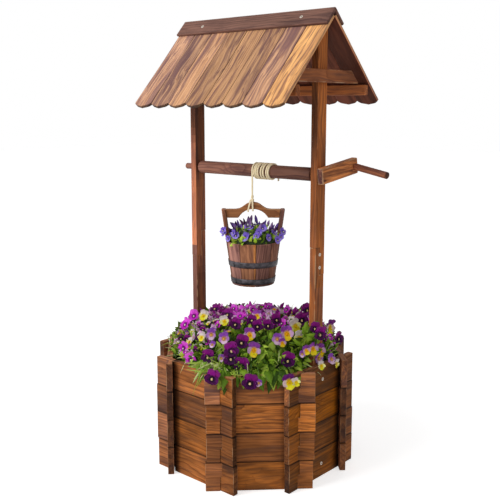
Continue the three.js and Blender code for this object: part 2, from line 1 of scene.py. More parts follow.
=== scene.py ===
"""Wishing well planter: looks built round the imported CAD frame.

The frame gives the size and place of every piece. This script dresses it: the boards and posts
in scorched fir, the roof boards, the rope, the bucket's staves and hoops, screws and flowers.
Lengths are metres, +Z is up, +X points to the crank and -Y to the roof's front slope.
"""

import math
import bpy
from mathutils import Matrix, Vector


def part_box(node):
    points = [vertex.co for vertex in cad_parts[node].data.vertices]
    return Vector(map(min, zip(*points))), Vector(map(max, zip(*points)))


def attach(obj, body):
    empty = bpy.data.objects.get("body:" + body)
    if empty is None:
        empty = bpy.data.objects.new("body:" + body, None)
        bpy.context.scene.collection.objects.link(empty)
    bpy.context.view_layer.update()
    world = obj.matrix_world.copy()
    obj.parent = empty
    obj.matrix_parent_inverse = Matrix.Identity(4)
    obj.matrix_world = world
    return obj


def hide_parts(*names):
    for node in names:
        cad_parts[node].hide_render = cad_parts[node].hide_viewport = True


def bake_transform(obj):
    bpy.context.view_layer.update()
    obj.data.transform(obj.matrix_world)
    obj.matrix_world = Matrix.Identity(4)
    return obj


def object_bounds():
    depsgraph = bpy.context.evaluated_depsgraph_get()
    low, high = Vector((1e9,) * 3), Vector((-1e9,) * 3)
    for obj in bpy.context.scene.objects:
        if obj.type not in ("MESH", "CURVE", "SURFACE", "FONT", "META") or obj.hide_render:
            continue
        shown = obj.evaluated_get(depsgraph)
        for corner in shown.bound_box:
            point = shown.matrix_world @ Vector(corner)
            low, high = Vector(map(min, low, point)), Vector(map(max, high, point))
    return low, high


bl_info = {
    "name": "Wishing Well Planter",
    "version": (1, 0, 0),
    "blender": (4, 5, 0),
    "location": "3D View > Sidebar > Well",
    "description": "Dresses the wishing well planter in fir, rope, iron and flowers",
    "category": "Object",
}

import bmesh
import bpy
import numpy as np
from bpy.props import FloatProperty, FloatVectorProperty, IntProperty, PointerProperty
from mathutils import Vector

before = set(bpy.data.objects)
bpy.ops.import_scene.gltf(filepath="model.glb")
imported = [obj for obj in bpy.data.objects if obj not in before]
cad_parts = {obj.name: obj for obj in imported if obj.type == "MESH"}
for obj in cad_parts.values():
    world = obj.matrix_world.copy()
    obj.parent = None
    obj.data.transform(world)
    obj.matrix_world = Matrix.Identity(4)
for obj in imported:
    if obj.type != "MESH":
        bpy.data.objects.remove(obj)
CAD_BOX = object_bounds()

# Facts of the frame, in metres, as the CAD source has them
WALL_APOTHEM = 0.228
SIDES = 8
COURSES = 4
AXIS_HEIGHT = 0.765
RIDGE_APEX = 1.13909  # where the outer faces of the two slopes would meet
ROOF_HALF_LENGTH = 0.245
ROOF_BOARD_LENGTH = 0.286
ROOF_THICK = 0.008
ROOF_BOARDS = 8
SCALLOP_DEPTH = 0.012
PITCHES = {"front": math.radians(48.0), "back": math.radians(45.2)}
SLOPE_SIDES = {"front": -1.0, "back": 1.0}
POST_OUTER = 0.2127
POST_INNER = 0.1947
ROPE_RADIUS = 0.0024
ROPE_X = 0.0104
WRAP_RADIUS = 0.0192
TURN_STEP = 0.00535
TAIL_LENGTH = 0.025
BUCKET_TURN = math.radians(41.54)
BUCKET_OFFSET = 0.0025
BUCKET_LOW = 0.475
BUCKET_RIM = 0.585
BUCKET_LOW_RADIUS = 0.0546
BUCKET_RIM_RADIUS = 0.070
EAR_TOP = 0.668
EAR_WIDTH = 0.036
STAVE_THICK = 0.010
ARM_TILT = math.radians(7.9)
ARM_THICK = 0.017
GRIP_REACH = 0.1115
GRIP_LEAN = math.radians(11.0)
MOUND_RADIUS = 0.209
MOUND_SHOULDER = 0.3257
MOUND_TOP = 0.405
DOME_SHARES = ((1, 0), (0.98, 0.3), (0.86, 0.62), (0.62, 0.86), (0.32, 0.97), (0, 1))

UP = np.array((0.0, 0.0, 1.0))
RIGHT = (1.0, 0.0, 0.0)
BACK = (0.0, 1.0, 0.0)


def colour(name, description, value):
    """A colour that a user may change."""
    return FloatVectorProperty(
        name=name, description=description, subtype="COLOR", size=3, min=0.0, max=1.0,
        default=value,
    )


def length(name, description, value):
    """A length that a user may change."""
    return FloatProperty(
        name=name, description=description, default=value, min=0.0, unit="LENGTH", precision=5
    )


class WellSizes(bpy.types.PropertyGroup):
    """Sizes of the details that the frame leaves open."""

    edge_round: length("Edge wear", "How far the boards' sharp edges are worn back", 0.0018)
    crank_round: length("Crank edge", "Rounding of the crank arm's edges", 0.0024)
    roof_seam: length("Roof seam", "Gap between neighbouring roof boards", 0.0006)
    strand_pitch: length("Strand pitch", "Length of one full twist of the rope", 0.011)
    screw_radius: length("Screw head", "Radius of a countersunk screw head", 0.0042)
    bloom_width: length("Pansy width", "Width of a full pansy", 0.040)
    leaf_length: length("Leaf length", "Length of a pansy leaf", 0.033)
    leaves: IntProperty(
        name="Leaves", description="How many leaves cover the planting", default=2300, min=0
    )


class WellColours(bpy.types.PropertyGroup):
    """Colours of the woods, rope, iron and screws, as linear values."""

    wall_light: colour("Wall spring wood", "Soft wood of the wall boards", (0.45, 0.146, 0.028))
    wall_dark: colour("Wall summer wood", "Hard rings of the wall boards", (0.125, 0.034, 0.008))
    wall_scorch: colour("Wall scorch", "Scorched parts of the wall boards", (0.11, 0.045, 0.019))
    post_light: colour("Post spring wood", "Soft wood of the posts", (0.42, 0.130, 0.032))
    post_dark: colour("Post summer wood", "Hard rings of the posts", (0.16, 0.046, 0.014))
    post_scorch: colour("Post scorch", "Scorched parts of the posts", (0.10, 0.040, 0.021))
    roof_light: colour("Roof spring wood", "Soft wood of the roof boards", (0.62, 0.335, 0.155))
    roof_dark: colour("Roof summer wood", "Hard rings of the roof boards", (0.30, 0.13, 0.062))
    roof_scorch: colour("Roof scorch", "Purple-brown parts of the roof", (0.175, 0.085, 0.068))
    # The stain of the undersides; the roof boards' tone adds painted shade to it under the roof.
    below: colour("Roof's underside", "Stain on the boards' undersides", (0.445, 0.141, 0.08))
    cap_light: colour("Cap spring wood", "Soft wood of the ridge caps", (0.235, 0.114, 0.075))
    cap_dark: colour("Cap summer wood", "Hard rings of the ridge caps", (0.06, 0.028, 0.024))
    roller_light: colour("Roller spring wood", "Soft wood of the roller", (0.205, 0.088, 0.048))
    roller_dark: colour("Roller summer wood", "Hard rings of the roller", (0.065, 0.024, 0.020))
    crank_light: colour("Crank spring wood", "Soft wood of the crank", (0.40, 0.145, 0.05))
    crank_dark: colour("Crank summer wood", "Hard rings of the crank", (0.06, 0.02, 0.012))
    bucket_light: colour("Stave spring wood", "Soft wood of the bucket", (0.33, 0.136, 0.055))
    bucket_dark: colour("Stave summer wood", "Hard rings of the bucket", (0.085, 0.030, 0.015))
    worn: colour("Worn edge", "Bare wood on worn edges", (0.50, 0.29, 0.155))
    straw: colour("Rope", "Straw-coloured jute", (1.0, 0.90, 0.66))
    iron: colour("Hoop iron", "Dark oiled iron", (0.074, 0.064, 0.074))
    zinc: colour("Screw", "Pale zinc", (0.78, 0.72, 0.62))


# Shader helpers


class Shade:
    """Adds nodes to one material's tree. A value is a socket to join or a constant to set."""

    def __init__(self, name, owner=None):
        self.material = owner or bpy.data.materials.new(name)
        self.material.use_nodes = True
        self.tree = self.material.node_tree
        self.tree.nodes.clear()

    def node(self, kind, values=None, **settings):
        node = self.tree.nodes.new("ShaderNode" + kind)
        for key, value in settings.items():
            setattr(node, key, value)
        for key, value in (values or {}).items():
            if isinstance(value, bpy.types.NodeSocket):
                self.tree.links.new(value, node.inputs[key])
            else:
                node.inputs[key].default_value = value
        return node

    def attribute(self, name, output="Vector"):
        return self.node("Attribute", attribute_name=name).outputs[output]

    def parts(self, name):
        """The three numbers of an attribute."""
        return self.node("SeparateXYZ", {0: self.attribute(name)}).outputs

    def here(self):
        """Where a point lies in the piece's own frame."""
        return self.node("TexCoord").outputs["Object"]

    def math(self, operation, *values):
        return self.node("Math", dict(enumerate(values)), operation=operation).outputs[0]

    def times(self, a, b):
        return self.math("MULTIPLY", a, b)

    def line(self, value, slope, start):
        """start + slope * value."""
        return self.math("MULTIPLY_ADD", value, slope, start)

    def vector(self, operation, *values, output=0):
        values = dict(enumerate(values))
        return self.node("VectorMath", values, operation=operation).outputs[output]

    def noise(self, at, stretch=None, detail=2.0, roughness=0.5, output="Fac"):
        """Noise over coordinates times stretch, which is one number or one for each axis."""
        if stretch:
            at = self.vector("MULTIPLY", at, stretch if type(stretch) is tuple else (stretch,) * 3)
        values = {"Vector": at, "Scale": 1.0, "Detail": detail, "Roughness": roughness}
        return self.node("TexNoise", values).outputs[output]

    def step(self, value, low, high):
        """0 below low and 1 above high, smooth between them."""
        values = {"Value": value, "From Min": low, "From Max": high}
        return self.node("MapRange", values, interpolation_type="SMOOTHSTEP").outputs[0]

    def mix(self, share, a, b):
        values = {0: share, 6: opaque(a), 7: opaque(b)}
        return self.node("Mix", values, data_type="RGBA").outputs[2]

    def bump(self, height, distance, strength=1.0):
        values = {"Height": height, "Distance": distance, "Strength": strength}
        return self.node("Bump", values).outputs[0]

    def surface(self, base, **values):
        values = {key.replace("_", " "): value for key, value in values.items()}
        shader = self.node("BsdfPrincipled", {"Base Color": base, **values})
        self.node("OutputMaterial", {"Surface": shader.outputs[0]})
        return self.material


def opaque(value):
    """A three-number colour with its alpha, or the socket as it is."""
    return value if isinstance(value, bpy.types.NodeSocket) else (*value, 1.0)


def fir(
    name, light, dark, scorch, ring=0.0065, rough=0.6, contrast=0.8, worn=None, knots=0.36,
    seam=2.0, seam_shade=0.72, streak=(4.5, 26.0), char=0.8, fine=0.0, uneven=0.5,
):
    """Scorched fir. The rings are circles about the board's pith, of radius
    sqrt(across^2 + depth^2) in the grain attribute, bent by slow noise and pushed out round
    the knots; their value climbs to the hard summer wood and drops again at each ring. Scorch
    lies in long clouds. The place attribute gives the share of the board's half length and
    half width, and the shade of a corner; the board darkens at its long edges and in corners."""
    s = Shade(name)
    grain = s.attribute("grain")
    place, tone = s.parts("place"), s.parts("tone")
    bent = grain
    for stretch, reach in (((3.2, 8.0, 8.0), 0.05), ((14.0, 60.0, 60.0), 0.006)):
        waves = s.vector("SUBTRACT", s.noise(grain, stretch, output="Color"), (0.5,) * 3)
        bent = s.vector("ADD", bent, s.vector("MULTIPLY", waves, (0.0, reach, reach)))

    spots = s.node(
        "TexVoronoi", {"Vector": s.vector("MULTIPLY", bent, (5.2, 12.0, 0.6)), "Scale": 1.0}
    ).outputs
    chosen = s.math("LESS_THAN", s.node("SeparateColor", {0: spots["Color"]}).outputs[0], knots)
    near = s.times(s.step(spots["Distance"], 0.42, 0.02), chosen)
    knot = s.times(s.step(spots["Distance"], 0.14, 0.05), chosen)

    # Rings, soft to hard, pushed out near the knots
    radius = s.vector("LENGTH", s.vector("MULTIPLY", bent, (0.0, 1.0, 1.0)), output=1)
    turns = s.line(radius, 1 / ring, s.times(near, 2.6))
    rings = s.math("POWER", s.math("FRACT", turns), 2.6)

    # Grain, then scorch and knots, then the fine fibres
    streaks = s.noise(bent, (2.2, 75.0, 75.0), 3.0, 0.6)
    fibre = s.noise(grain, (22.0, 900.0, 900.0), 1.0)
    strong = s.step(s.noise(grain, (2.5, 14.0, 14.0)), 0.35, 0.62)
    hard = s.times(rings, s.line(strong, 0.65, 0.35))
    base = s.mix(s.times(hard, contrast), light, dark)
    base = s.mix(s.times(s.step(streaks, 0.50, 0.74), 0.65), base, dark)
    cloud = s.noise(bent, (streak[0], streak[1], streak[1]), 3.0, 0.58)
    burnt = s.step(s.math("ADD", cloud, tone[1]), 0.47, 0.70)
    base = s.mix(s.times(burnt, char), base, scorch)
    base = s.mix(s.times(knot, 0.85), base, scorch)
    base = s.mix(s.times(s.step(fibre, 0.4, 0.8), 0.4), base, dark)
    if fine:
        thin = s.noise(bent, (1.6, 210.0, 210.0), 2.0, 0.7)
        base = s.mix(s.times(s.step(thin, 0.44, 0.66), fine), base, scorch)
        pale = s.noise(bent, (1.9, 150.0, 150.0), 1.0)
        base = s.mix(s.times(s.step(pale, 0.56, 0.74), fine), base, light)
    # The board's own warmth, painted shade and dark joints at its edges, painted shade in its
    # corners, its patches, and its worn edges
    warmth = s.vector("MULTIPLY_ADD", tone[2], (0.03, -0.10, -1.0), (1.0,) * 3)
    base = s.vector("MULTIPLY", base, warmth)
    # Painted shade: the long edges darken as dark joints with painted shade in the gaps between
    # boards, and place's third part darkens the corners with painted shade.
    edge = s.step(s.math("ABSOLUTE", place[1]), seam, 0.5 * (1 + seam) if seam < 1 else seam + 1)
    shade = s.times(tone[0], s.line(edge, -seam_shade, 1.0))
    shade = s.times(shade, s.line(place[2], -0.82, 1.0))
    patch = s.noise(grain, (12.0, 38.0, 38.0), 2.0)
    shade = s.times(shade, s.line(patch, uneven, 1 - uneven / 2))
    base = s.vector("SCALE", base)
    s.tree.links.new(shade, base.node.inputs["Scale"])
    if worn:
        bare = s.step(s.noise(grain, (30.0, 30.0, 60.0), 3.0), 0.42, 0.60)
        open_air = s.line(edge, -0.8, 0.8)
        base = s.mix(s.times(bare, open_air), base, worn)
    relief = s.math("ADD", s.times(rings, 0.7), s.times(fibre, 0.5))
    return s.surface(
        base, Roughness=s.line(rings, 0.12, rough), Specular_IOR_Level=0.12,
        Normal=s.bump(relief, 0.00035, 0.6),
    )


# Mesh helpers

LOOKS = {}


def linked(name, data):
    """An object with this data, in the scene."""
    obj = bpy.data.objects.new(name, data)
    bpy.context.scene.collection.objects.link(obj)
    return obj


def aimed(name, data, place, aim):
    """A camera or lamp at a place, turned to another."""
    obj = linked(name, data)
    obj.location = place
    obj.rotation_mode = "QUATERNION"
    obj.rotation_quaternion = (Vector(aim) - Vector(place)).to_track_quat("-Z", "Y")
    return obj


def mounted(mesh, body, looks, node):
    """The mesh's object with its looks, their names parted by spaces, and where they are given
    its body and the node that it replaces."""
    obj = linked(mesh.name, mesh)
    for look in looks.split():
        mesh.materials.append(LOOKS[look])
    if body:
        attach(obj, body)
    if node:
        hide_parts(node)
    return obj


def piece(name, points, faces, body, looks, node=None, smooth=True):
    """A piece from an array of points and a list of faces."""
    mesh = bpy.data.meshes.new(name)
    mesh.from_pydata(points.reshape(-1, 3).tolist(), [], faces)
    mesh.update()
    mesh.polygons.foreach_set("use_smooth", [smooth] * len(mesh.polygons))
    return mounted(mesh, body, looks, node)


def outward(obj):
    """Turns every face of a closed piece outwards."""
    shape = bmesh.new()
    shape.from_mesh(obj.data)
    bmesh.ops.recalc_face_normals(shape, faces=shape.faces)
    shape.to_mesh(obj.data)
    shape.free()
    return obj


def vectors_of(items, key="co"):
    """One vector of each point or face of a mesh, as an array."""
    values = np.zeros(3 * len(items))
    items.foreach_get(key, values)
    return values.reshape(-1, 3)


def xyz(x, y, z):
    """Points from their coordinates, spread over one another's shape."""
    return np.stack(np.broadcast_arrays(x, y, z), -1)


def spokes(turn):
    """Level vectors, one long, at the turns."""
    return xyz(np.cos(turn), np.sin(turn), 0.0)


def around(turn, out, height):
    """The ways out at the turns, and the spots so far out along them and so high."""
    radial = spokes(turn)
    return radial, radial * np.asarray(out)[..., None] + UP * np.asarray(height)[..., None]


def unit(vectors):
    """Vectors made one long."""
    vectors = np.asarray(vectors, float)
    return vectors / np.linalg.norm(vectors, axis=-1, keepdims=True)


def give(obj, name, values, kind="FLOAT_VECTOR", domain="POINT"):
    """Stores one value per point, or per face corner, in an attribute that a material reads."""
    attribute = obj.data.attributes.new(name, kind, domain)
    key = "color" if kind == "FLOAT_COLOR" else "vector"
    attribute.data.foreach_set(key, np.asarray(values, np.float32).ravel())


def board_axes(along, across):
    """The board's own axes as rows: along the grain, across it and into the depth."""
    along, across = np.array((along, across), float)
    return np.stack((along, across, np.cross(along, across)))


def dress(
    obj, axes, seed, spread=0.07, bury=0.05, ring=1.0, points=None, corner=(), seams=(-1, 1)
):
    """Stores the board's coordinates. The grain attribute is metres along the grain, across and
    into the board from a pith that lies spread aside and bury behind the middle, both drawn
    from the seed; the place attribute runs from -1 to 1 over the board's length and width, and
    its third part is left for the shade of a corner."""
    points = vectors_of(obj.data.vertices) if points is None else points
    draw = np.random.default_rng(seed)
    local = points @ axes.T
    low, high = local.min(0), local.max(0)
    offset = local - (low + high) / 2
    place_shade = np.zeros((len(local), 3))
    if corner:
        lines, near, far, end = corner
        reach = np.abs(local[:, 0])
        near, far = np.interp(reach, lines, near), np.interp(reach, lines, far)
        place_shade[:, 2] = np.where(local[:, 0] * end > 0, far, near)
    pith = np.array((0.0, draw.uniform(-spread, spread), -draw.uniform(0.3, 1.0) * bury))
    place = 2 * offset / np.maximum(high - low, 1e-6) * (1, 1, 0) + place_shade
    place[:, 1] = np.clip(place[:, 1], *seams)
    give(obj, "place", place)
    shift = np.array((3.7 * (seed % 97) + 0.5, 0.0, 0.0))
    give(obj, "grain", (offset - pith) / (1.0, ring, ring) + shift)


def tone_of(count, light, scorch, warmth=0.0):
    """The same lightness, scorch and warmth for every point or face."""
    return np.tile(np.array((light, scorch, warmth), np.float32), (count, 1))


def bevelled(obj, width, segments):
    """Rounds a piece's sharp edges in its last look."""
    bevel = obj.modifiers.new("worn edges", "BEVEL")
    bevel.width = width
    bevel.segments = segments
    bevel.limit_method = "ANGLE"
    bevel.angle_limit = math.radians(25)
    bevel.material = len(obj.data.materials) - 1


def copied(
    node, name, body, looks, axes, seed, tone, edge, ring=1.0, paint=None, cuts=(),
    corner=(), seams=(-1, 1),
):
    """A copy of a CAD node with its doubles merged and its flat faces whole, its edges worn
    by a bevel that takes the last look. The faces are parted at the cuts, lengths along the
    board, and paint gives each face its tone from its normal and middle."""
    mesh = bpy.data.meshes.new(name)
    shape = bmesh.new()
    shape.from_mesh(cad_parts[node].data)
    bmesh.ops.remove_doubles(shape, verts=shape.verts, dist=1e-5)
    bmesh.ops.dissolve_limit(
        shape, angle_limit=math.radians(0.8), verts=shape.verts, edges=shape.edges
    )
    for cut in cuts:
        bmesh.ops.bisect_plane(
            shape, geom=[*shape.verts, *shape.edges, *shape.faces], dist=1e-6,
            plane_co=Vector(axes[0] * cut), plane_no=Vector(axes[0]),
        )
    shape.to_mesh(mesh)
    shape.free()
    faces = mesh.polygons
    faces.foreach_set("use_smooth", [False] * len(faces))
    faces.foreach_set("material_index", [0] * len(faces))
    obj = mounted(mesh, body, looks, node)
    dress(obj, axes, seed, ring=ring, corner=corner, seams=seams)
    tones = tone_of(len(faces), *tone)
    if paint:
        normals, middles = (vectors_of(faces, key) @ axes.T for key in ("normal", "center"))
        tones = paint(tones, normals, middles)
    give(obj, "tone", tones, domain="FACE")
    bevelled(obj, edge, 2)
    return obj


def rounded(count, wide, tall):
    """Section of a rounded rectangle, each way from -1 to 1: at angle a it is
    (sign cos a |cos a|^wide, sign sin a |sin a|^tall)."""
    angle = (np.arange(count) + 0.5) * 2 * math.pi / count
    cos, sin = np.cos(angle), np.sin(angle)
    return np.sign(cos) * np.abs(cos) ** wide, np.sign(sin) * np.abs(sin) ** tall


def on_grid(values, rows):
    """Values of the sections, or of the places round them, for every point of a grid."""
    return np.broadcast_to(values, rows.shape[:2]).ravel()


def lathe_points(profile, steps):
    """Points of a solid turned about Z: (radius cos a, radius sin a, height) for each step."""
    radius, height = np.array(profile, float).T[:, :, None]
    angle = np.linspace(0, 2 * math.pi, steps, endpoint=False)
    return xyz(radius * np.cos(angle), radius * np.sin(angle), height)


def tube_faces(rows, count, closed=False):
    """Quads between the sections of a tube, with a fan of one face at each open end."""
    row = np.arange(rows if closed else rows - 1)[:, None] * count
    here = np.arange(count)[None, :]
    after = (here + 1) % count
    up = (row + count) % (rows * count)
    faces = np.stack((row + here, row + after, up + after, up + here), -1).reshape(-1, 4).tolist()
    if not closed:
        faces.append(list(range(count))[::-1])
        faces.append([(rows - 1) * count + i for i in range(count)])
    return faces


def closed_strip(rows, count):
    """Faces of a closed strip: a tube's sides, and at each end quads that pair the section's
    two halves."""
    faces = tube_faces(rows, count)[:-2]
    half = np.arange(count // 2 - 1)
    quads = np.stack((half, half + 1, count - 2 - half, count - 1 - half), -1)
    return faces + quads[:, ::-1].tolist() + (quads + (rows - 1) * count).tolist()


def tubes(name, parts, body, looks, node=None, lays=(), closed=False, smooth=True):
    """A piece from tubes or turned solids, each an array of its sections' points. The first may
    close on itself. The lays hold what the rope's material reads, for every point."""
    faces, count = [], 0
    for i, rows in enumerate(parts):
        sides = tube_faces(*rows.shape[:2], closed and i == 0)
        faces += [[count + k for k in face] for face in sides]
        count += rows.shape[0] * rows.shape[1]
    points = np.vstack([rows.reshape(-1, 3) for rows in parts])
    obj = piece(name, points, faces, body, looks, node, smooth)
    if lays:
        lays = [np.broadcast_to(lay, rows.shape).reshape(-1, 3) for lay, rows in zip(lays, parts)]
        give(obj, "lay", np.vstack(lays))
    return obj


def swept(centres, radius, count, twist, depth=0.2):
    """Sections of three strands laid up along a centre line. At section angle a and distance s
    the radius is radius * (1 - depth + depth * |cos(3 / 2 * (a - twist * s))|), and the
    sections' frames are carried along the line without spin."""
    tangent = unit(np.gradient(centres, axis=0))
    side = np.zeros_like(tangent)
    side[0] = unit(np.cross(tangent[0], (0.31, 0.87, 0.38)))
    for i in range(1, len(centres)):
        side[i] = unit(side[i - 1] - tangent[i] * (side[i - 1] @ tangent[i]))
    over = np.cross(tangent, side)
    step = np.linalg.norm(np.diff(centres, axis=0), axis=1)
    gone = np.concatenate(((0.0,), np.cumsum(step)))[:, None]
    angle = np.linspace(0, 2 * math.pi, count, endpoint=False)[None, :]
    phase = angle - twist * gone
    lobe = np.abs(np.cos(1.5 * phase))
    out = (radius * (1 - depth + depth * lobe))[..., None]
    cos, sin = np.cos(angle)[..., None], np.sin(angle)[..., None]
    points = centres[:, None, :] + out * cos * side[:, None, :] + out * sin * over[:, None, :]
    return points, xyz(gone, 1 - lobe, phase)


def resampled(points, step):
    """The same line with points a step apart along it."""
    gone = np.concatenate(((0.0,), np.cumsum(np.linalg.norm(np.diff(points, axis=0), axis=1))))
    at = np.linspace(0, gone[-1], max(2, int(round(gone[-1] / step)) + 1))
    return np.stack([np.interp(at, gone, points[:, i]) for i in range(3)], 1)


def smooth_line(points, count):
    """A Catmull-Rom line through the points, count places on each span."""
    points = np.asarray(points, float)
    padded = np.vstack((2 * points[0] - points[1], points, 2 * points[-1] - points[-2]))
    t = np.linspace(0, 1, count, endpoint=False)[None, :, None]
    a, b, c, d = (padded[i : len(padded) - 3 + i, None, :] for i in range(4))
    spans = 0.5 * (
        2 * b
        + (c - a) * t
        + (2 * a - 5 * b + 4 * c - d) * t**2
        + (3 * b - a - 3 * c + d) * t**3
    )
    return np.vstack((spans.reshape(-1, 3), points[-1]))


def bucket_place(points):
    """Carries points from the bucket's own frame, X along its handle, to the well's."""
    cos, sin = math.cos(BUCKET_TURN), math.sin(BUCKET_TURN)
    x, y = points[..., 0] + BUCKET_OFFSET, points[..., 1]
    return xyz(ROPE_X + x * cos - y * sin, -WRAP_RADIUS + x * sin + y * cos, points[..., 2])


HANDLE_ALONG = (math.cos(BUCKET_TURN), math.sin(BUCKET_TURN), 0.0)


class WellStep:
    """What every step of the build shares."""

    bl_options = {"REGISTER", "UNDO"}

    @property
    def sizes(self):
        return bpy.context.scene.well_sizes

    @property
    def colours(self):
        return bpy.context.scene.well_colours


class WELL_OT_camera(WellStep, bpy.types.Operator):
    """Puts the camera where the photograph was taken from"""

    bl_idname = "well.camera"
    bl_label = "Camera"

    def execute(self, context):
        data = bpy.data.cameras.new("camera")
        data.sensor_width = 36.0
        data.lens = 56.96
        data.clip_start = 0.05
        place, aim = (1.3400, -1.5285, 0.9243), (-0.0080, -0.0071, 0.5573)
        context.scene.camera = aimed("camera", data, place, aim)
        context.scene.view_settings.view_transform = "Standard"
        return {"FINISHED"}


# How the woods differ from plain fir, as arguments of fir()
WOODS = {
    "wall": dict(ring=0.008, seam=0.93, fine=0.6, contrast=0.85, uneven=1.7),
    "post": dict(ring=0.006, contrast=0.9, fine=0.5, uneven=0.8),
    "roof": dict(
        ring=0.0055, seam=0.955, seam_shade=0.35, streak=(2.0, 62.0), knots=0.22, char=0.95,
        contrast=0.7, fine=0.9,
    ),
    "below": dict(streak=(3.0, 50.0)),
    "cap": dict(ring=0.006, contrast=0.9, fine=0.4),
    "roller": dict(rough=0.5, contrast=1.0, streak=(5.0, 90.0)),
    "crank": dict(ring=0.006, contrast=1.0, streak=(9.0, 60.0), knots=0.8, fine=0.5),
    "stave": dict(ring=0.005, seam=0.93, contrast=0.9, fine=0.5, uneven=1.0),
    "handle": dict(ring=0.006),
}


class WELL_OT_materials(WellStep, bpy.types.Operator):
    """Mixes the woods, rope, iron and planting"""

    bl_idname = "well.materials"
    bl_label = "Materials"

    def execute(self, context):
        c = self.colours
        bucket = (c.bucket_light, c.bucket_dark, c.bucket_dark)
        for name, tones in (
            ("wall", (c.wall_light, c.wall_dark, c.wall_scorch)),
            ("post", (c.post_light, c.post_dark, c.post_scorch)),
            ("roof", (c.roof_light, c.roof_dark, c.roof_scorch)),
            ("below", (c.below, c.below, 0.35 * Vector(c.below))),
            ("cap", (c.cap_light, c.cap_dark, c.cap_dark)),
            ("roller", (c.roller_light, c.roller_dark, c.roller_dark)),
            ("crank", (c.crank_light, c.crank_dark, c.crank_dark)),
            ("stave", bucket),
            ("handle", bucket),
        ):
            tones = [tuple(tone) for tone in tones]
            LOOKS[name] = fir(name + "_fir", *tones, **WOODS[name])
            if name in ("wall", "post", "crank", "handle"):
                worn = tuple(c.worn)
                LOOKS[name + "_edge"] = fir(name + "_edge", *tones, worn=worn, **WOODS[name])
        LOOKS.update(
            rope=self.rope(tuple(c.straw)), iron=self.iron(tuple(c.iron)),
            zinc=self.zinc(tuple(c.zinc)), petal=self.living("petal", 0.55, 0.30),
            leaf=self.living("leaf", 0.42, 0.25), bed=self.bed(),
        )
        return {"FINISHED"}

    def rope(self, straw):
        s = Shade("jute")
        lay = s.parts("lay")
        spun = s.node("CombineXYZ", {0: s.times(lay[0], 260.0), 1: lay[2]}).outputs[0]
        fibre = s.noise(spun, None, 3.0, 0.65)
        hairs = s.noise(s.here(), 700.0)
        dark = (0.95 * straw[0], 0.87 * straw[1], 0.74 * straw[2])
        base = s.mix(s.step(fibre, 0.35, 0.7), dark, straw)
        # Painted shade in the grooves between the strands, where the lay's second number is high.
        base = s.mix(s.times(s.step(lay[1], 0.3, 0.95), 0.3), base, dark)
        height = s.math("ADD", fibre, hairs)
        return s.surface(
            base, Roughness=0.9, Specular_IOR_Level=0.1,
            Normal=s.bump(height, 0.0004, 0.8),
        )

    def iron(self, iron):
        s = Shade("hoop_iron")
        at = s.here()
        cloud = s.noise(at, (60.0, 60.0, 90.0), 4.0, 0.6)
        fine = s.noise(at, 900.0, 2.0)
        base = s.mix(s.step(cloud, 0.40, 0.60), tuple(0.3 * v for v in iron), iron)
        base = s.mix(s.step(cloud, 0.62, 0.75), base, tuple(2.2 * v for v in iron))
        return s.surface(
            base, Metallic=0.5, Roughness=s.line(cloud, 0.45, 0.25),
            Normal=s.bump(fine, 0.00015, 0.5),
        )

    def zinc(self, zinc):
        s = Shade("zinc")
        cloud = s.noise(s.here(), 800.0, 3.0)
        base = s.mix(s.step(cloud, 0.35, 0.7), tuple(0.7 * v for v in zinc), zinc)
        return s.surface(base, Metallic=0.6, Roughness=s.line(cloud, 0.3, 0.25))

    def living(self, name, rough, lift):
        """Petals and leaves: their colour is painted on their points, with fine veins."""
        s = Shade(name)
        paint = s.attribute("paint", "Color")
        vein = s.noise(s.attribute("lay"), (60.0, 9.0, 1.0), 2.0)
        base = s.mix(s.step(vein, 0.35, 0.75), paint, s.mix(0.22, paint, (0.01, 0.02, 0.0)))
        return s.surface(
            base, Roughness=rough, Subsurface_Weight=lift, Subsurface_Scale=1.0,
            Subsurface_Radius=(0.003, 0.0025, 0.002), Specular_IOR_Level=0.08,
            Normal=s.bump(vein, 0.0005, 0.4),
        )

    def bed(self):
        # A dark green sheet of painted shade, for the depth under the leaves and the violets.
        s = Shade("shade_under_leaves")
        cloud = s.noise(s.here(), 90.0, 4.0, 0.7)
        base = s.mix(s.step(cloud, 0.4, 0.65), (0.012, 0.016, 0.006), (0.035, 0.08, 0.014))
        return s.surface(base, Roughness=0.8, Normal=s.bump(cloud, 0.006, 1.0))


# Rope

HALF_TURN_SHARES = (
    -0.7, 1.85, 0.5, 0.5, 0.55, 0.6, 0.6, 1.3, 0.7, 0.7, 0.7, 1.3, 0.55, 0.55, 0.5,
)


def winding_line():
    """Centre line of the rope on the roller: a helix whose advance per half turn is a share of
    one turn's step, from the straight start below the front to the tail at the back."""
    steps = 48
    part = np.arange(steps) / steps
    shares = np.array(HALF_TURN_SHARES)[:, None]
    starts = ROPE_X + TURN_STEP * np.concatenate(((0.0,), np.cumsum(HALF_TURN_SHARES)))
    x = (starts[:-1, None] + TURN_STEP * shares * part).ravel()
    angle = (math.pi * (np.arange(len(shares))[:, None] + part)).ravel()
    helix = xyz(x, -WRAP_RADIUS * np.cos(angle), AXIS_HEIGHT + WRAP_RADIUS * np.sin(angle))
    first = (ROPE_X, -WRAP_RADIUS, AXIS_HEIGHT - 2 * ROPE_RADIUS)
    end = (starts[-1], WRAP_RADIUS, AXIS_HEIGHT)
    tail = (starts[-1], WRAP_RADIUS, AXIS_HEIGHT - TAIL_LENGTH)
    return np.vstack((first, helix, end, tail))


def rope_piece(name, centres, body, node, pitch):
    """Three strands laid up into a rope along the centre line."""
    points, lay = swept(centres, ROPE_RADIUS, 18, 2 * math.pi / pitch)
    return tubes(name, [points], body, "rope", node, [lay])


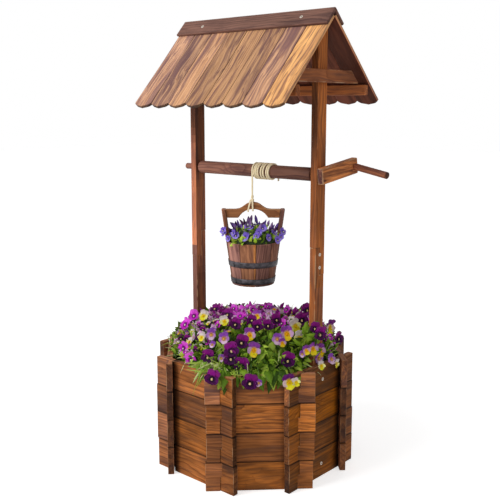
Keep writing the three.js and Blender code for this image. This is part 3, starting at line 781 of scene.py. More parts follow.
class WELL_OT_rope(WellStep, bpy.types.Operator):
    """Lays up the rope on the roller, its hanging length, knot and hitch"""

    bl_idname = "well.rope"
    bl_label = "Rope"

    def execute(self, context):
        pitch = self.sizes.strand_pitch
        line = resampled(winding_line(), 0.0011)
        winding = rope_piece("rope_turns", line, "windlass", "rope_winding", pitch)

        low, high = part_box("rope_drop")
        top = np.array((ROPE_X, -WRAP_RADIUS, high.z))
        foot = np.array((ROPE_X, -WRAP_RADIUS, low.z))
        line = np.linspace(top, foot, 60)
        drop = rope_piece("rope_hang", line, None, "rope_drop", pitch)
        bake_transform(drop)

        knot = self.knot()
        hitch = self.hitch(2 * math.pi / pitch)
        return {"FINISHED"}

    def knot(self):
        """Overhand knot: a trefoil, x = r (sin t + 2 sin 2t), y = r (cos t - 2 cos 2t), with
        height -h sin 3t, its tube thick enough to close up, round an egg-shaped core."""
        low, high = (np.array(corner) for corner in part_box("rope_knot"))
        middle = (low + high) / 2
        wide, _, tall = high - low
        tube = 0.0016
        t = np.linspace(0, 2 * math.pi, 120, endpoint=False)
        reach = (wide / 2 - tube) / 3
        path = xyz(
            reach * (np.sin(t) + 2 * np.sin(2 * t)),
            reach * (np.cos(t) - 2 * np.cos(2 * t)),
            -(tall / 2 - tube) * np.sin(3 * t),
        )
        points, lay = swept(path, tube, 12, 900.0, 0.15)
        a = np.linspace(0.05, math.pi - 0.05, 9)
        core = lathe_points(np.stack((0.45 * wide * np.sin(a), -0.5 * tall * np.cos(a)), 1), 16)
        # The core's lay gives it a small fixed share of the rope's painted groove shade.
        return tubes(
            "rope_stop", [points + middle, core + middle], "knot", "rope", "rope_knot",
            [lay, (0.0, 0.4, 0.0)], closed=True,
        )

    def hitch(self, twist):
        """The rope's end, passed twice round the handle and made fast to itself: two smooth
        loops, and above them a helix of two turns round a turned core."""
        crown, room = 0.686, ROPE_RADIUS + 0.0006
        across, over = 0.009 + room, crown + room
        on_rope = (-BUCKET_OFFSET, 0.0, 0.0)
        lines = []
        for beside, under in ((-0.0105, 0.6658), (0.0014, 0.6676)):
            side = [
                (beside / 4, 0.0024, 0.6905),
                (beside * 0.4, across * 0.9, over),
                (beside * 0.6, across, crown - ROPE_RADIUS),
                (beside, across, under),
                (beside, across * 0.85, under - ROPE_RADIUS),
            ]
            back = [(a, -b, c) for a, b, c in side][::-1]
            lines.append((smooth_line(side + back, 9), ROPE_RADIUS * 0.96, 14))
        turns = np.linspace(0, 2, 70)
        helix = spokes(2 * math.pi * turns) * 0.0028 + UP * (0.6883 + 0.0020 * turns)[:, None]
        lines.append((helix, 0.0021, 12))
        strands = [swept(bucket_place(line + on_rope), *form, twist) for line, *form in lines]
        parts, lays = zip(*strands)
        profile = ((0.001, 0.6868), (0.0034, 0.6885), (0.003, 0.694), (0.0015, 0.6974))
        core = lathe_points(profile, 12)
        return tubes(
            "rope_loops", [*parts, bucket_place(core + on_rope)], "bucket", "rope", "rope_hitch",
            [*lays, (0.0, 0.3, 0.0)],
        )


# Wall

# Distances from a board's middle at which its face is parted: the shade of the corner grows
# from the first line to the third, and the end beyond the corner begins at the last
CORNER_LINES = (0.048, 0.064, 0.0732, 0.0745)
# Shade at those distances, at the common ends and at the deeper ends, and where the latter are
CORNER_SHADES = ((0.0, 0.4, 1.12, 0.0), (0.12, 0.95, 1.2, 0.0))
DEEP_ENDS = {0: 1, 6: -1}

# Lightness, scorch and warmth of the ends seen in the photograph, from the ground up
STUB_TONES = {
    (7, -1): ((1.0, -0.1, -0.9), (0.7, 0.0, -0.9), (1.15, -0.05, -0.35), (1.35, 0.0, -1.6)),
    (6, 1): ((0.73, 0.0, -0.45), (0.65, 0.05, -0.4), (0.55, 0.1, -0.7), (1.06, -0.1, -0.2)),
    (7, 1): ((1.15, -0.1, -0.4), (0.96, 0.05, -0.45), (2.25, -0.15, 0.0), (1.22, 0.05, -0.8)),
    (0, -1): ((0.7, 0.08, 0.38), (0.88, 0.02, 0.33), (0.9, 0.0, 0.7), (0.54, 0.1, 0.05)),
    (6, -1): ((1.15, -0.05, -0.9), (1.22, 0.0, -1.5), (0.72, 0.05, -1.1), (1.04, -0.1, -1.4)),
    (5, 1): ((0.76, 0.0, -0.9), (0.8, 0.0, -1.1), (0.66, 0.05, -0.8), (0.88, 0.05, -1.5)),
    (0, 1): ((0.85, 0.0, -0.4), (0.75, 0.05, -0.5), (0.66, 0.05, -0.6), (0.53, 0.05, -1.1)),
    (1, -1): ((1.42, -0.05, 0.15), (0.68, 0.05, -0.2), (0.68, 0.05, 0.5), (1.85, 0.0, -0.5)),
}
# Lightness share and warmth of the cut ends, for the sides seen edge on from the ground up
CUTS = {0: ((0.46, 0.6, 0.59, 2.25), -0.8), 6: ((0.57, 0.38, 0.62, 0.26), -0.1)}

# Lightness, scorch and warmth of the boards, from the ground up
WALL_TONES = {
    0: ((0.77, 0.0, 0.4), (0.66, 0.05, 0.3), (0.89, -0.05, 0.87), (0.56, 0.05, 0.35)),
    6: ((1.12, -0.05, -0.25), (1.0, 0.0, 0.0), (0.84, 0.05, -0.4), (1.38, -0.05, -0.45)),
    7: ((1.05, -0.03, 0.1), (0.82, 0.05, -0.4), (1.4, -0.08, -0.1), (1.18, 0.0, -0.55)),
}


class WELL_OT_wall(WellStep, bpy.types.Operator):
    """Dresses the notched boards of the wall"""

    bl_idname = "well.wall"
    bl_label = "Wall boards"

    def execute(self, context):
        for side in range(SIDES):
            angle = side * 2 * math.pi / SIDES
            axes = board_axes((-math.sin(angle), math.cos(angle), 0.0), UP)
            corner = (CORNER_LINES, *CORNER_SHADES, DEEP_ENDS.get(side, 0))
            for course in range(COURSES):
                seed = 11 + 7 * side + 53 * course
                draw = np.random.default_rng(seed + 400)
                tone = draw.uniform((0.75, -0.1, -0.6), (1.2, 0.1, 0.3))
                tone = WALL_TONES.get(side, (tone,) * COURSES)[course]
                # The lowest board's bottom edge and the highest board's top edge are kept out of
                # the painted seam shade.
                copied(
                    f"wall_{side + 1}_board_{course + 1}", f"wall_plank_{side + 1}_{course + 1}",
                    "well", "wall wall_edge", axes, seed, tone,
                    self.sizes.edge_round, draw.uniform(0.75, 1.5),
                    lambda *faces: self.stubs(draw, side, course, *faces),
                    (*CORNER_LINES, *(-line for line in CORNER_LINES)), corner,
                    (-0.9 if course == 0 else -1, 0.9 if course == COURSES - 1 else 1),
                )
        return {"FINISHED"}

    def stubs(self, draw, side, course, tones, normals, middles):
        """Gives each end beyond the corner its own tone, darkens end grain and pales the inner
        face. The top faces of the highest boards are paler, and lighter still on the left sides,
        where the light falls: painted light."""
        for end in (-1, 1):
            here = middles[:, 0] * end > CORNER_LINES[-1] - 0.001
            tone = draw.uniform((0.65, -0.06, -2.0), (1.3, 0.12, 0.6))
            tones[here] = STUB_TONES.get((side, end), (tone,) * COURSES)[course]
        tones[normals[:, 2] < -0.9] = (1.2, -0.1, -1.8)
        cut = np.abs(normals[:, 0]) > 0.9
        shares, warmth = CUTS.get(side, ((0.55,) * COURSES, -1.2))
        tones[cut, 0] *= shares[course]
        tones[cut, 2] = warmth
        # Painted light: the top faces are lighter on the left sides, 5 to 7, where the light falls.
        if course == COURSES - 1:
            tones[normals[:, 1] > 0.9] = (1.5 if side in (5, 6, 7) else 1.0, -0.1, -1.5)
        return tones


# Posts, ties and battens: node, lightness, scorch, ring spacing
POSTS = (
    ("lower_post_left", 1.0, 0.02, 1.0),
    ("upper_post_left", 1.05, 0.0, 0.9),
    ("lower_post_right", 0.95, 0.04, 1.1),
    ("upper_post_right", 1.05, -0.03, 1.2),
)
# The posts' front and side faces: share of the length's own tone, tone added, height below which
# the warmth is another and that warmth, then heights and the lightness at them: painted shade
# under the roof, and darker faces low down
POST_FACES = {
    "left": (
        (0, (1.95, -0.04, -1.0), 0.55, -2.5, (0.54, 0.56, 0.82, 0.88), (0.39, 1.12, 0.93, 0.32)),
        (0, (1.5, 0.05, -0.7), 0, 0, (0.46, 0.5, 0.7, 0.78), (0.7, 1, 1, 0.44)),
    ),
    "right": (
        (0, (1.15, 0.02, -0.1), 0, 0, (0.56, 0.6, 0.7, 0.86), (1.3, 1.1, 0.88, 0.55)),
        (1, (0.3, -0.02, 0.1), 0.5, -0.4, (0.42, 0.5, 0.56, 0.62), (0.72, 0.9, 1.15, 1)),
    ),
}
ROOF_FRAME = (
    ("roof_tie_left", 0.95, 0.0, 1.0),
    ("roof_tie_right", 0.93, 0.02, 1.2),
    ("roof_batten_front", 1.0, 0.0, 1.0),
    ("roof_batten_back", 1.5, -0.05, 1.1),
)


class WELL_OT_posts(WellStep, bpy.types.Operator):
    """Dresses the four lengths of the posts"""

    bl_idname = "well.posts"
    bl_label = "Posts"

    def execute(self, context):
        axes = board_axes(UP, BACK)
        # The faces are parted every two centimetres of height, so that their painted shade can
        # change along it.
        cuts = np.arange(0.41, 0.9, 0.02)
        for i, (node, light, scorch, ring) in enumerate(POSTS):
            post = "left" if "left" in node else "right"
            copied(
                node, node.replace("post", "post_length"), "well", "post post_edge",
                axes, 301 + 17 * i, (light, scorch, 0.0), self.sizes.edge_round, ring,
                lambda *faces: self.faces(post, *faces), cuts,
            )
        return {"FINISHED"}

    def faces(self, post, tones, normals, middles):
        """Gives the front face, and the side face seen, their tones along their height, with
        painted shade under the roof.
        """
        height = middles[:, 0]
        for axis, (own, tone, foot, warmth, heights, shares) in enumerate(POST_FACES[post], 1):
            here = normals[:, axis] < -0.9
            tones[here] = own * tones[here] + tone
            # Painted shade under the roof, and darker low down: the lightness along the height.
            tones[here, 0] *= np.interp(height[here], heights, shares)
            tones[here & (height < foot), 2] = warmth
        return tones


def slope_axes(slope):
    """The ridge's way, the way down a slope and the way square out of it."""
    pitch, side = PITCHES[slope], SLOPE_SIDES[slope]
    cos, sin = math.cos(pitch), math.sin(pitch)
    return np.array((RIGHT, (0.0, side * cos, -sin), (0.0, side * sin, cos)))


# Lightness, scorch and warmth of the roof boards from the left end
ROOF_TONES = {
    "front": (
        (1.3, 0.0, -0.3), (1.0, 0.07, -0.25), (1.3, -0.04, -0.15), (0.97, 0.04, -0.1),
        (1.08, 0.0, -0.05), (1.02, 0.05, -0.1), (1.2, 0.11, -0.25), (1.65, -0.07, 0.2),
    ),
    "back": (
        (1.3, -0.05, 0.0), (1.0, 0.08, -0.3), (1.2, 0.0, -0.1), (1.0, 0.1, -0.3),
        (1.25, -0.06, 0.1), (1.1, 0.05, -0.2), (1.25, 0.0, 0.0), (1.0, 0.1, -0.4),
    ),
}


class WELL_OT_roof(WellStep, bpy.types.Operator):
    """Lays the scalloped boards of both slopes and dresses the roof's frame"""

    bl_idname = "well.roof"
    bl_label = "Roof"

    def execute(self, context):
        for slope in ("front", "back"):
            boards = [self.board(slope, i) for i in range(ROOF_BOARDS)]
            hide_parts("roof_slope_" + slope)
        for i, (node, light, scorch, ring) in enumerate(ROOF_FRAME):
            along, looks, warmth = RIGHT, "post", -0.2
            if "tie" in node:
                along, looks, warmth = BACK, "post post_edge", -0.45
            copied(
                node, node.replace("roof_", "roof_frame_"), "well", looks,
                board_axes(along, UP), 501 + 13 * i, (light, scorch, warmth),
                self.sizes.edge_round, ring,
            )
        return {"FINISHED"}

    def board(self, slope, number):
        """One roof board. Its section is a rounded rectangle (superellipse of high power), and
        at each side offset x it ends on the scallop, length(x) = tip - sagitta of the arc."""
        width = 2 * ROOF_HALF_LENGTH / ROOF_BOARDS
        half = width / 2 - self.sizes.roof_seam / 2
        middle = -ROOF_HALF_LENGTH + (number + 0.5) * width
        x, z = rounded(34, 0.24, 0.22)
        x, z = half * x, 0.5 * ROOF_THICK * z
        radius = (width**2 / 4 + SCALLOP_DEPTH**2) / (2 * SCALLOP_DEPTH)
        tip = ROOF_BOARD_LENGTH - radius + np.sqrt(radius**2 - x**2)
        top = ROOF_THICK * math.tan(PITCHES[slope])
        shares = np.concatenate((np.linspace(0, 0.995, 26), (0.9985, 1.0)))
        pinch = np.ones(len(shares))
        pinch[-1] = 0.86
        draw = np.random.default_rng(600 + number + (50 if slope == "back" else 0))
        wave = 0.0005 * np.sin(7 * shares + draw.uniform(0, 6)) + draw.uniform(-0.0003, 0.0003)
        along = top + shares[:, None] * (tip - top)[None, :]
        rise = -ROOF_THICK / 2 + z * pinch[:, None] + np.minimum(wave, 0)[:, None]
        rows = xyz(middle + x, along, rise)
        faces = closed_strip(*along.shape)
        obj = outward(piece(
            f"roof_board_{slope}_{number + 1}", rows @ slope_axes(slope) + UP * RIDGE_APEX,
            faces, "well", "roof below",
        ))
        deep = on_grid(z < 0, rows)
        under = [int(deep[list(face)].all()) for face in faces]
        obj.data.polygons.foreach_set("material_index", under)
        seed = 700 + 19 * number + (5 if slope == "back" else 0)
        ring = np.random.default_rng(seed).uniform(0.8, 1.6)
        axes = np.eye(3)[[1, 0, 2]]
        dress(obj, axes, seed, 0.05, 0.045, ring, rows.reshape(-1, 3))
        light, scorch, warmth = ROOF_TONES[slope][number]
        # Painted shade on the underside: its lightness falls to 0.42 of the top's. The underside
        # also takes a little more scorch and no warmth, and the scallop's cut ends are darker end
        # grain.
        above = on_grid(np.clip((z / ROOF_THICK + 0.2) / 0.6, 0, 1), rows)
        ends = on_grid((shares > 0.997)[:, None], rows)
        shade = light * (0.42 + 0.58 * above) * np.where(ends, 0.4, 1.0)
        outer = x * {0: -1, ROOF_BOARDS - 1: 1}.get(number, 0) > 0.985 * half
        outer = on_grid(outer & (np.abs(z) < 0.46 * ROOF_THICK), rows)
        tone = tone_of(len(shade), light, scorch, warmth)
        tone[:, 0] = shade
        tone[:, 1] += 0.06 * (1 - above)
        tone[:, 2] *= above
        # The end boards' outer sides are lifted out of the painted shade of the underside and of
        # the seam.
        tone[outer & ~ends] = (2.2, 0.0, 0.1)
        give(obj, "tone", tone)
        return obj


class WELL_OT_ridge(WellStep, bpy.types.Operator):
    """Dresses the two boards that cap the ridge"""

    bl_idname = "well.ridge"
    bl_label = "Ridge caps"

    def execute(self, context):
        for i, slope in enumerate(("front", "back")):
            copied(
                "ridge_cap_" + slope, "ridge_board_" + slope, "well", "cap cap",
                board_axes(RIGHT, slope_axes(slope)[1]), 811 + 31 * i, (1.1, 0.0, -0.1),
                self.sizes.edge_round,
            )
        return {"FINISHED"}


def axle_place(points):
    """Carries a turning's Z to +X on the roller's axis."""
    return xyz(points[..., 2], points[..., 1], AXIS_HEIGHT - points[..., 0])


class WELL_OT_windlass(WellStep, bpy.types.Operator):
    """Turns the roller and grip and dresses the crank arm"""

    bl_idname = "well.windlass"
    bl_label = "Windlass"

    def execute(self, context):
        end, shoulder = POST_OUTER + 0.033, POST_INNER - 0.0065
        arm_face = POST_OUTER + 0.003 + ARM_THICK
        journal, roller, soft = 0.008, 0.0165, 0.0013
        profile = [
            (1e-5, -end), (journal - soft, -end), (journal - 0.3 * soft, -end + 0.3 * soft),
            (journal, -end + soft), (journal, -shoulder - 2e-4), (journal, -shoulder),
            (roller - soft, -shoulder), (roller - 0.3 * soft, -shoulder + 0.3 * soft),
            (roller, -shoulder + soft),
            *[(roller, x) for x in np.linspace(-0.17, 0.17, 12)],
            (roller, shoulder - soft), (roller - 0.3 * soft, shoulder - 0.3 * soft),
            (roller - soft, shoulder), (journal, shoulder), (journal, shoulder + 2e-4),
            (journal, arm_face - 0.005), (journal - 5e-4, arm_face - 0.004),
            (1e-5, arm_face - 0.004),
        ]
        roller_piece = tubes(
            "roller", [axle_place(lathe_points(profile, 48))], "windlass", "roller",
            "windlass_roller",
        )
        dress(roller_piece, board_axes(RIGHT, BACK), 901, 0.012, 0.02)
        reach = vectors_of(roller_piece.data.vertices)[:, 0]
        tone = tone_of(len(reach), 1.35, -0.03, -0.2)
        # Painted shade: the roller is lighter at its left end and darker towards the crank.
        tone[:, 0] *= np.interp(reach, (-0.15, 0.17), (1.4, 0.58))
        give(roller_piece, "tone", tone)

        self.arm(arm_face)
        self.grip(arm_face)
        return {"FINISHED"}

    def arm(self, arm_face):
        """The crank's arm: a plain block whose edges a bevel rounds, tilted about the axis."""
        near, far, half = -0.020, 0.1266, 0.0195  # from the axis along the arm, half its width
        z, x, y = np.meshgrid(
            (arm_face - ARM_THICK, arm_face), (near, far), (-half, half), indexing="ij"
        )
        cos, sin = math.cos(ARM_TILT), math.sin(ARM_TILT)
        axes = np.array(((0.0, cos, sin), (0.0, -sin, cos), (1.0, 0.0, 0.0)))
        points = xyz(x, y, z) @ axes + UP * AXIS_HEIGHT
        faces = [(0, 1, 3, 2), (4, 6, 7, 5), (0, 4, 5, 1), (2, 3, 7, 6), (0, 2, 6, 4), (1, 5, 7, 3)]
        arm = outward(piece(
            "crank_lever", points, faces, "windlass", "crank crank_edge", "crank_arm",
            smooth=False,
        ))
        dress(arm, axes, 917, 0.02, 0.03)
        tones = tone_of(6, 2.3, 0.05, 0.15)
        along = (vectors_of(arm.data.polygons, "center") - UP * AXIS_HEIGHT) @ axes[0]
        tones[along < near + 0.001] = (1.1, 0.2, -1.0)
        give(arm, "tone", tones, domain="FACE")
        bevelled(arm, self.sizes.crank_round, 3)

    def grip(self, arm_face):
        """The dowel: a turned profile whose end is domed, leaning down from the arm's face."""
        radius, soft = 0.0085, 0.0022
        start, far = 0.0017, 0.097  # from the arm's face along the grip
        profile = [
            (1e-5, -0.012), (0.005, -0.012), (0.005, start), (radius - 0.0006, start),
            (radius, start + 0.0008), *[(radius, z) for z in np.linspace(0.01, far - 0.006, 8)],
            (radius, far - soft), (radius - 0.3 * soft, far - 0.5 * soft),
            (radius - soft, far), (1e-5, far),
        ]
        x, y, z = np.moveaxis(lathe_points(profile, 32), -1, 0)
        cos, sin = math.cos(math.pi / 2 + GRIP_LEAN), math.sin(math.pi / 2 + GRIP_LEAN)
        x, y, z = cos * x + sin * z + arm_face, y + GRIP_REACH, -sin * x + cos * z
        cos, sin = math.cos(ARM_TILT), math.sin(ARM_TILT)
        rows = xyz(x, cos * y - sin * z, AXIS_HEIGHT + sin * y + cos * z)
        grip = tubes("grip", [rows], "windlass", "post", "crank_grip")
        reach = vectors_of(grip.data.vertices)[:, 0]
        dress(grip, board_axes(unit((1.0, 0.0, -0.19)), BACK), 931, 0.01, 0.012)
        tone = tone_of(len(reach), 1.3, 0.0, -1.1)
        tone[reach > reach.max() - 0.004, 0] = 0.3
        give(grip, "tone", tone)


# Joints between the bucket's staves, in degrees round it from the right ear
STAVE_JOINTS = (-18, 18, 59, 95, 131, 162, 198, 239, 276, 313, 342)
# Lightness, scorch and warmth of the ears and of the staves in front
STAVE_TONES = {
    0: (1.0, 0.05, -0.9), 5: (1.35, -0.02, -0.2), 6: (1.65, 0.03, -1.1), 7: (1.43, -0.02, -0.25),
    8: (1.15, 0.05, -1.0), 9: (1.25, 0.0, -0.6),
}


def cone(height):
    """Outer radius of the staves at a height."""
    share = (height - BUCKET_LOW) / (BUCKET_RIM - BUCKET_LOW)
    return BUCKET_LOW_RADIUS + (BUCKET_RIM_RADIUS - BUCKET_LOW_RADIUS) * share


class WELL_OT_bucket(WellStep, bpy.types.Operator):
    """Raises the bucket's staves, handle board and bottom"""

    bl_idname = "well.bucket"
    bl_label = "Bucket"

    def execute(self, context):
        staves = [self.stave(i) for i in range(len(STAVE_JOINTS) - 1)]
        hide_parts("bucket_staves")
        for node, name, tone, edge in (
            ("bucket_handle", "bucket_grip_board", (1.25, -0.05, 0.1), self.sizes.edge_round),
            ("bucket_bottom", "bucket_base", (0.6, 0.1, 0.0), 0.0003),
        ):
            copied(
                node, name, "bucket", "handle handle_edge",
                board_axes(HANDLE_ALONG, UP), 1201, tone, edge,
            )
        return {"FINISHED"}

    def stave(self, number):
        """One stave: an arc of the cone between two joints, rounded at its corners, carried up
        the cone. The ears narrow to the ear's width above the rim and go on to its top."""
        first, last = (math.radians(STAVE_JOINTS[number + k]) for k in (0, 1))
        middle, half = (first + last) / 2, (last - first) / 2
        ear = number in (0, 5)
        top = EAR_TOP if ear else BUCKET_RIM
        seam = 0.00035
        neck = (BUCKET_RIM + 0.0016, *np.linspace(BUCKET_RIM + 0.006, top - 0.002, 8))
        height = np.array((
            BUCKET_LOW, BUCKET_LOW + 0.0008,
            *np.linspace(BUCKET_LOW + 0.004, BUCKET_RIM - 0.004, 12),
            BUCKET_RIM - 0.0015, BUCKET_RIM - 0.0003, *(neck if ear else ()), top - 0.0006, top,
        ))
        radius = cone(height)
        width = np.full(len(height), half) - seam / radius
        if ear:
            narrow = np.arcsin(EAR_WIDTH / 2 / radius)
            share = np.clip((height - BUCKET_RIM + 0.0004) / 0.0015, 0, 1)
            width = width + (np.minimum(narrow, width) - width) * share
        pinch = np.ones(len(height))
        pinch[[0, -1]] = 0.86
        across, depth = rounded(40, 0.30, 0.22)
        depth = 0.5 * (1 - depth)
        turn = middle + across * width[:, None]
        thick = (depth - 0.5) * pinch[:, None] + 0.5
        out = radius[:, None] - STAVE_THICK * thick
        rows = xyz(out * np.cos(turn), out * np.sin(turn), height[:, None])
        name = f"bucket_ear_{number // 5 + 1}" if ear else f"bucket_stave_{number + 1}"
        obj = outward(piece(
            name, bucket_place(rows), closed_strip(*turn.shape), "bucket", "stave",
        ))
        seed = 1301 + 23 * number
        draw = np.random.default_rng(seed)
        board = xyz(height[:, None], radius[:, None] * (turn - middle), -STAVE_THICK * thick)
        board = board.reshape(-1, 3)
        dress(obj, np.eye(3), seed, 0.04, 0.03, draw.uniform(0.8, 1.4), board)
        tone = draw.uniform((1.1, -0.05, -1.1), (1.6, 0.08, 0.0))
        tone = tone_of(len(board), *STAVE_TONES.get(number, tone))
        shade = tone[:, 0]
        # The tops are lighter; painted shade darkens the inner faces, for the shade inside the
        # bucket, and the staves are darker towards the bottom.
        rim = on_grid((height > top - 0.001)[:, None], rows)
        shade[rim] *= 1.35
        shade[on_grid(depth > 0.7, rows) & ~rim] *= 0.7
        shade *= np.interp(board[:, 0], (0.495, 0.53), (0.7, 1.0))
        if number == 7:
            tone[board[:, 1] > 0.0152] *= (1.7, 0, 1)
            tone[board[:, 1] > 0.0152, 2] = 0.3
        give(obj, "tone", tone)
        return obj


class WELL_OT_hoops(WellStep, bpy.types.Operator):
    """Bends the two iron hoops round the bucket and rivets their laps"""

    bl_idname = "well.hoops"
    bl_label = "Hoops"

    def execute(self, context):
        self.hoop("lower")
        self.hoop("upper")
        return {"FINISHED"}

    def hoop(self, name):
        """A flat band, slightly crowned, that follows the cone one turn and laps over its own
        start: radius = cone + gap + lap * (share of the turn past the lap)."""
        low, high = (corner.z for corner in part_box("bucket_hoop_" + name))
        start, lap, end = math.radians(205), 2 * math.pi * 0.985, 2 * math.pi * 1.045
        turns = np.linspace(0, end, 150)[:, None]
        over = np.clip((turns - lap) / 0.09, 0, 1)
        over = over * over * (3 - 2 * over)
        section = np.array(
            [(0.0, 0.02), (0.0, 0.5), (0.0, 0.98), (0.0004, 1.0), (0.00095, 0.985),
             (0.0011, 0.5), (0.00095, 0.015), (0.0004, 0.0)]
        )[::-1]
        height = low + section[:, 1] * (high - low)
        radius = cone(height) + section[:, 0] + 0.00035 + 0.0009 * over
        parts = [spokes(turns + start) * radius[..., None] + UP * height[:, None]]
        dome = np.array([(16, -14), (16, 0), (12, 5), (5, 8), (0.1, 8)]) / 10000
        dome = lathe_points(dome, 10)
        for place in (0.975, 1.008):
            axis = spokes(place * 2 * math.pi + start)
            for share in (0.3, 0.7):
                z = low + share * (high - low)
                at = axis * (cone(z) + 0.0022) + UP * z
                parts.append(at + dome @ (np.cross(UP, axis), UP, axis))
        outward(tubes(
            f"bucket_band_{name}", [bucket_place(rows) for rows in parts], "bucket", "iron",
            "bucket_hoop_" + name,
        ))


class WELL_OT_screws(WellStep, bpy.types.Operator):
    """Drives the countersunk screws"""

    bl_idname = "well.screws"
    bl_label = "Screws"

    def execute(self, context):
        spots = []
        for x, down in ((-0.164, 0.018), (0.160, 0.016)):
            for slope in ("front", "back"):
                axes = slope_axes(slope)
                spots.append(((x, down, 0.0073) @ axes + UP * RIDGE_APEX, axes[2]))
        for reach, heights in ((POST_OUTER, (0.539, 0.571)), (WALL_APOTHEM, (0.034, 0.258))):
            for z in heights:
                spots += [((reach, 0.0, z), (1, 0, 0)), ((-reach, 0.0, z), (-1, 0, 0))]
        self.heads(spots)
        return {"FINISHED"}

    def heads(self, spots):
        """Each head is a shallow turned dish; every point of its inner rings that lies in the
        cross recess, |x| or |y| under a sixth of the radius, is sunk."""
        radius = self.sizes.screw_radius
        shares = np.array((1.0, 1.0, 0.93, 0.72, 0.6, 0.45, 0.3, 0.15, 0.001))
        height = np.array((-12, 0, 3.5, 5, 5.2, 5.4, 5.5, 5.5, 5.5)) / 10000
        dish = lathe_points(np.stack((shares * radius, height), 1), 32)
        x, y, z = np.moveaxis(dish, -1, 0)
        arm = radius * 0.17
        cross = (shares[:, None] < 0.65) & ((np.abs(x) < arm) | (np.abs(y) < arm))
        z[cross] = -0.0006
        parts = []
        for i, (at, normal) in enumerate(spots):
            normal = unit(normal)
            side = unit(np.cross(normal, (0.3, 0.5, 0.81)))
            cos, sin = math.cos(0.7 * i), math.sin(0.7 * i)
            spun = xyz(x * cos - y * sin, x * sin + y * cos, z)
            parts.append(np.array(at) + spun @ (side, np.cross(normal, side), normal))
        outward(tubes("screw_heads", parts, "well", "zinc", smooth=False))


# Flowers

# Petals of a pansy: turn from straight down in degrees, length share, width share, layer
PETALS = (
    (155, 0.57, 0.58, -2), (205, 0.57, 0.58, -1), (80, 0.46, 0.50, 0), (280, 0.46, 0.50, 0),
    (0, 0.48, 0.62, 1),
)

# Kinds of pansy: width share, then colours of the upper, side and lower petals, blotch and eye
KINDS = {
    "deep": (
        1.0, (0.25, 0.004, 0.21), (0.07, 0.002, 0.08), (0.045, 0.001, 0.055),
        (0.010, 0.001, 0.015), (1.0, 0.72, 0.30),
    ),
    "magenta": (
        0.9, (0.95, 0.09, 0.84), (0.74, 0.03, 0.66), (0.60, 0.02, 0.54), (0.10, 0.002, 0.10),
        (1.0, 0.9, 0.7),
    ),
    "pink": (
        0.8, (0.96, 0.50, 0.88), (1.0, 0.80, 0.92), (1.0, 0.92, 0.90), (0.62, 0.25, 0.30),
        (0.95, 0.85, 0.30),
    ),
    "bicolour": (
        0.88, (0.30, 0.05, 0.42), (0.64, 0.36, 0.60), (1.0, 0.66, 0.01), (0.95, 0.45, 0.005),
        (0.95, 0.35, 0.005),
    ),
    "primrose": (
        0.86, (0.92, 0.76, 0.74), (0.97, 0.88, 0.30), (1.0, 0.88, 0.02), (0.95, 0.66, 0.01),
        (0.90, 0.45, 0.005),
    ),
    "lilac": (
        0.74, (0.28, 0.06, 0.48), (0.50, 0.22, 0.62), (0.85, 0.55, 0.76), (0.60, 0.25, 0.10),
        (0.95, 0.60, 0.05),
    ),
    "harlequin": (
        1.0, (0.15, 0.006, 0.20), (0.84, 0.58, 0.62), (1.0, 0.86, 0.02), (0.95, 0.6, 0.01),
        (0.90, 0.40, 0.005),
    ),
    "violet": (
        0.55, (0.22, 0.13, 0.70), (0.32, 0.22, 0.88), (0.40, 0.30, 0.95), (0.08, 0.03, 0.36),
        (1.0, 0.85, 0.35),
    ),
}

# Where the pansies seen in the photograph stand: degrees round the wall, millimetres out, height
SEEN = {
    "deep": (
        (-138, 102, 398), (-19, 112, 396), (52, 142, 389), (12, 174, 377), (10, 141, 389),
        (37, 220, 327), (-97, 90, 399), (-52, 110, 397), (-45, 137, 391), (-35, 138, 390),
        (-69, 134, 392), (-64, 205, 347), (-58, 190, 364), (-64, 208, 328), (-57, 209, 312),
        (-51, 237, 286), (-72, 248, 293), (-81, 209, 325), (-26, 209, 322), (-9, 227, 400),
        (-6, 232, 385),
    ),
    "magenta": (
        (-143, 87, 400), (-126, 54, 403), (-74, 82, 400), (-60, 22, 404), (46, 39, 404),
        (-33, 82, 400), (35, 88, 400), (-134, 157, 384), (-122, 183, 371), (-97, 209, 307),
        (-106, 208, 328),
    ),
    "harlequin": ((35, 198, 356), (-29, 245, 287)),
    "primrose": ((-122, 136, 391), (-85, 126, 394), (-7, 153, 385), (-13, 189, 366)),
    "bicolour": (
        (-43, 77, 401), (-21, 173, 377), (-52, 168, 379), (-49, 203, 351), (-9, 222, 348),
        (3, 208, 328),
    ),
    "lilac": ((-31, 184, 370), (-72, 185, 369), (-84, 181, 373), (1, 209, 309), (4, 237, 314)),
}
# Smaller blooms and half-open buds
SEEN_SMALL = {
    "bicolour": ((-28, 192, 362), (-14, 220, 346)),
    "primrose": ((-91, 191, 364), (-27, 264, 291), (-6, 238, 308), (8, 242, 300)),
    "lilac": ((-79, 200, 354), (-17, 219, 338), (-71, 208, 328), (-46, 236, 286)),
}

TOWARDS_VIEW = unit((0.66, -0.75, 0.0))
ACROSS_VIEW = unit((0.75, 0.66, 0.0))


def dome_height(radius):
    """Height of the planting's surface at a distance from its middle."""
    out, rise = np.array(DOME_SHARES[::-1], float).T
    rise = np.interp(radius / MOUND_RADIUS, out, rise)
    return MOUND_SHOULDER + (MOUND_TOP - MOUND_SHOULDER) * rise


def placed(local, origins, along, side, up):
    """Copies of local points: origin + x along + y side + z up, for each copy."""
    axes = np.stack((along, side, up), 1)
    return origins[:, None, :] + local @ axes


def square_to(normals, spin):
    """Two unit vectors square to each normal, the first pointing down before the spin."""
    normals = unit(normals)
    down = -UP + normals * normals[:, 2:3]
    flat = np.linalg.norm(down, axis=1) < 1e-3
    down[flat] = (0.0, -1.0, 0.0)
    down = unit(down)
    side = np.cross(normals, down)
    cos, sin = np.cos(spin)[:, None], np.sin(spin)[:, None]
    return down * cos + side * sin, side * cos - down * sin


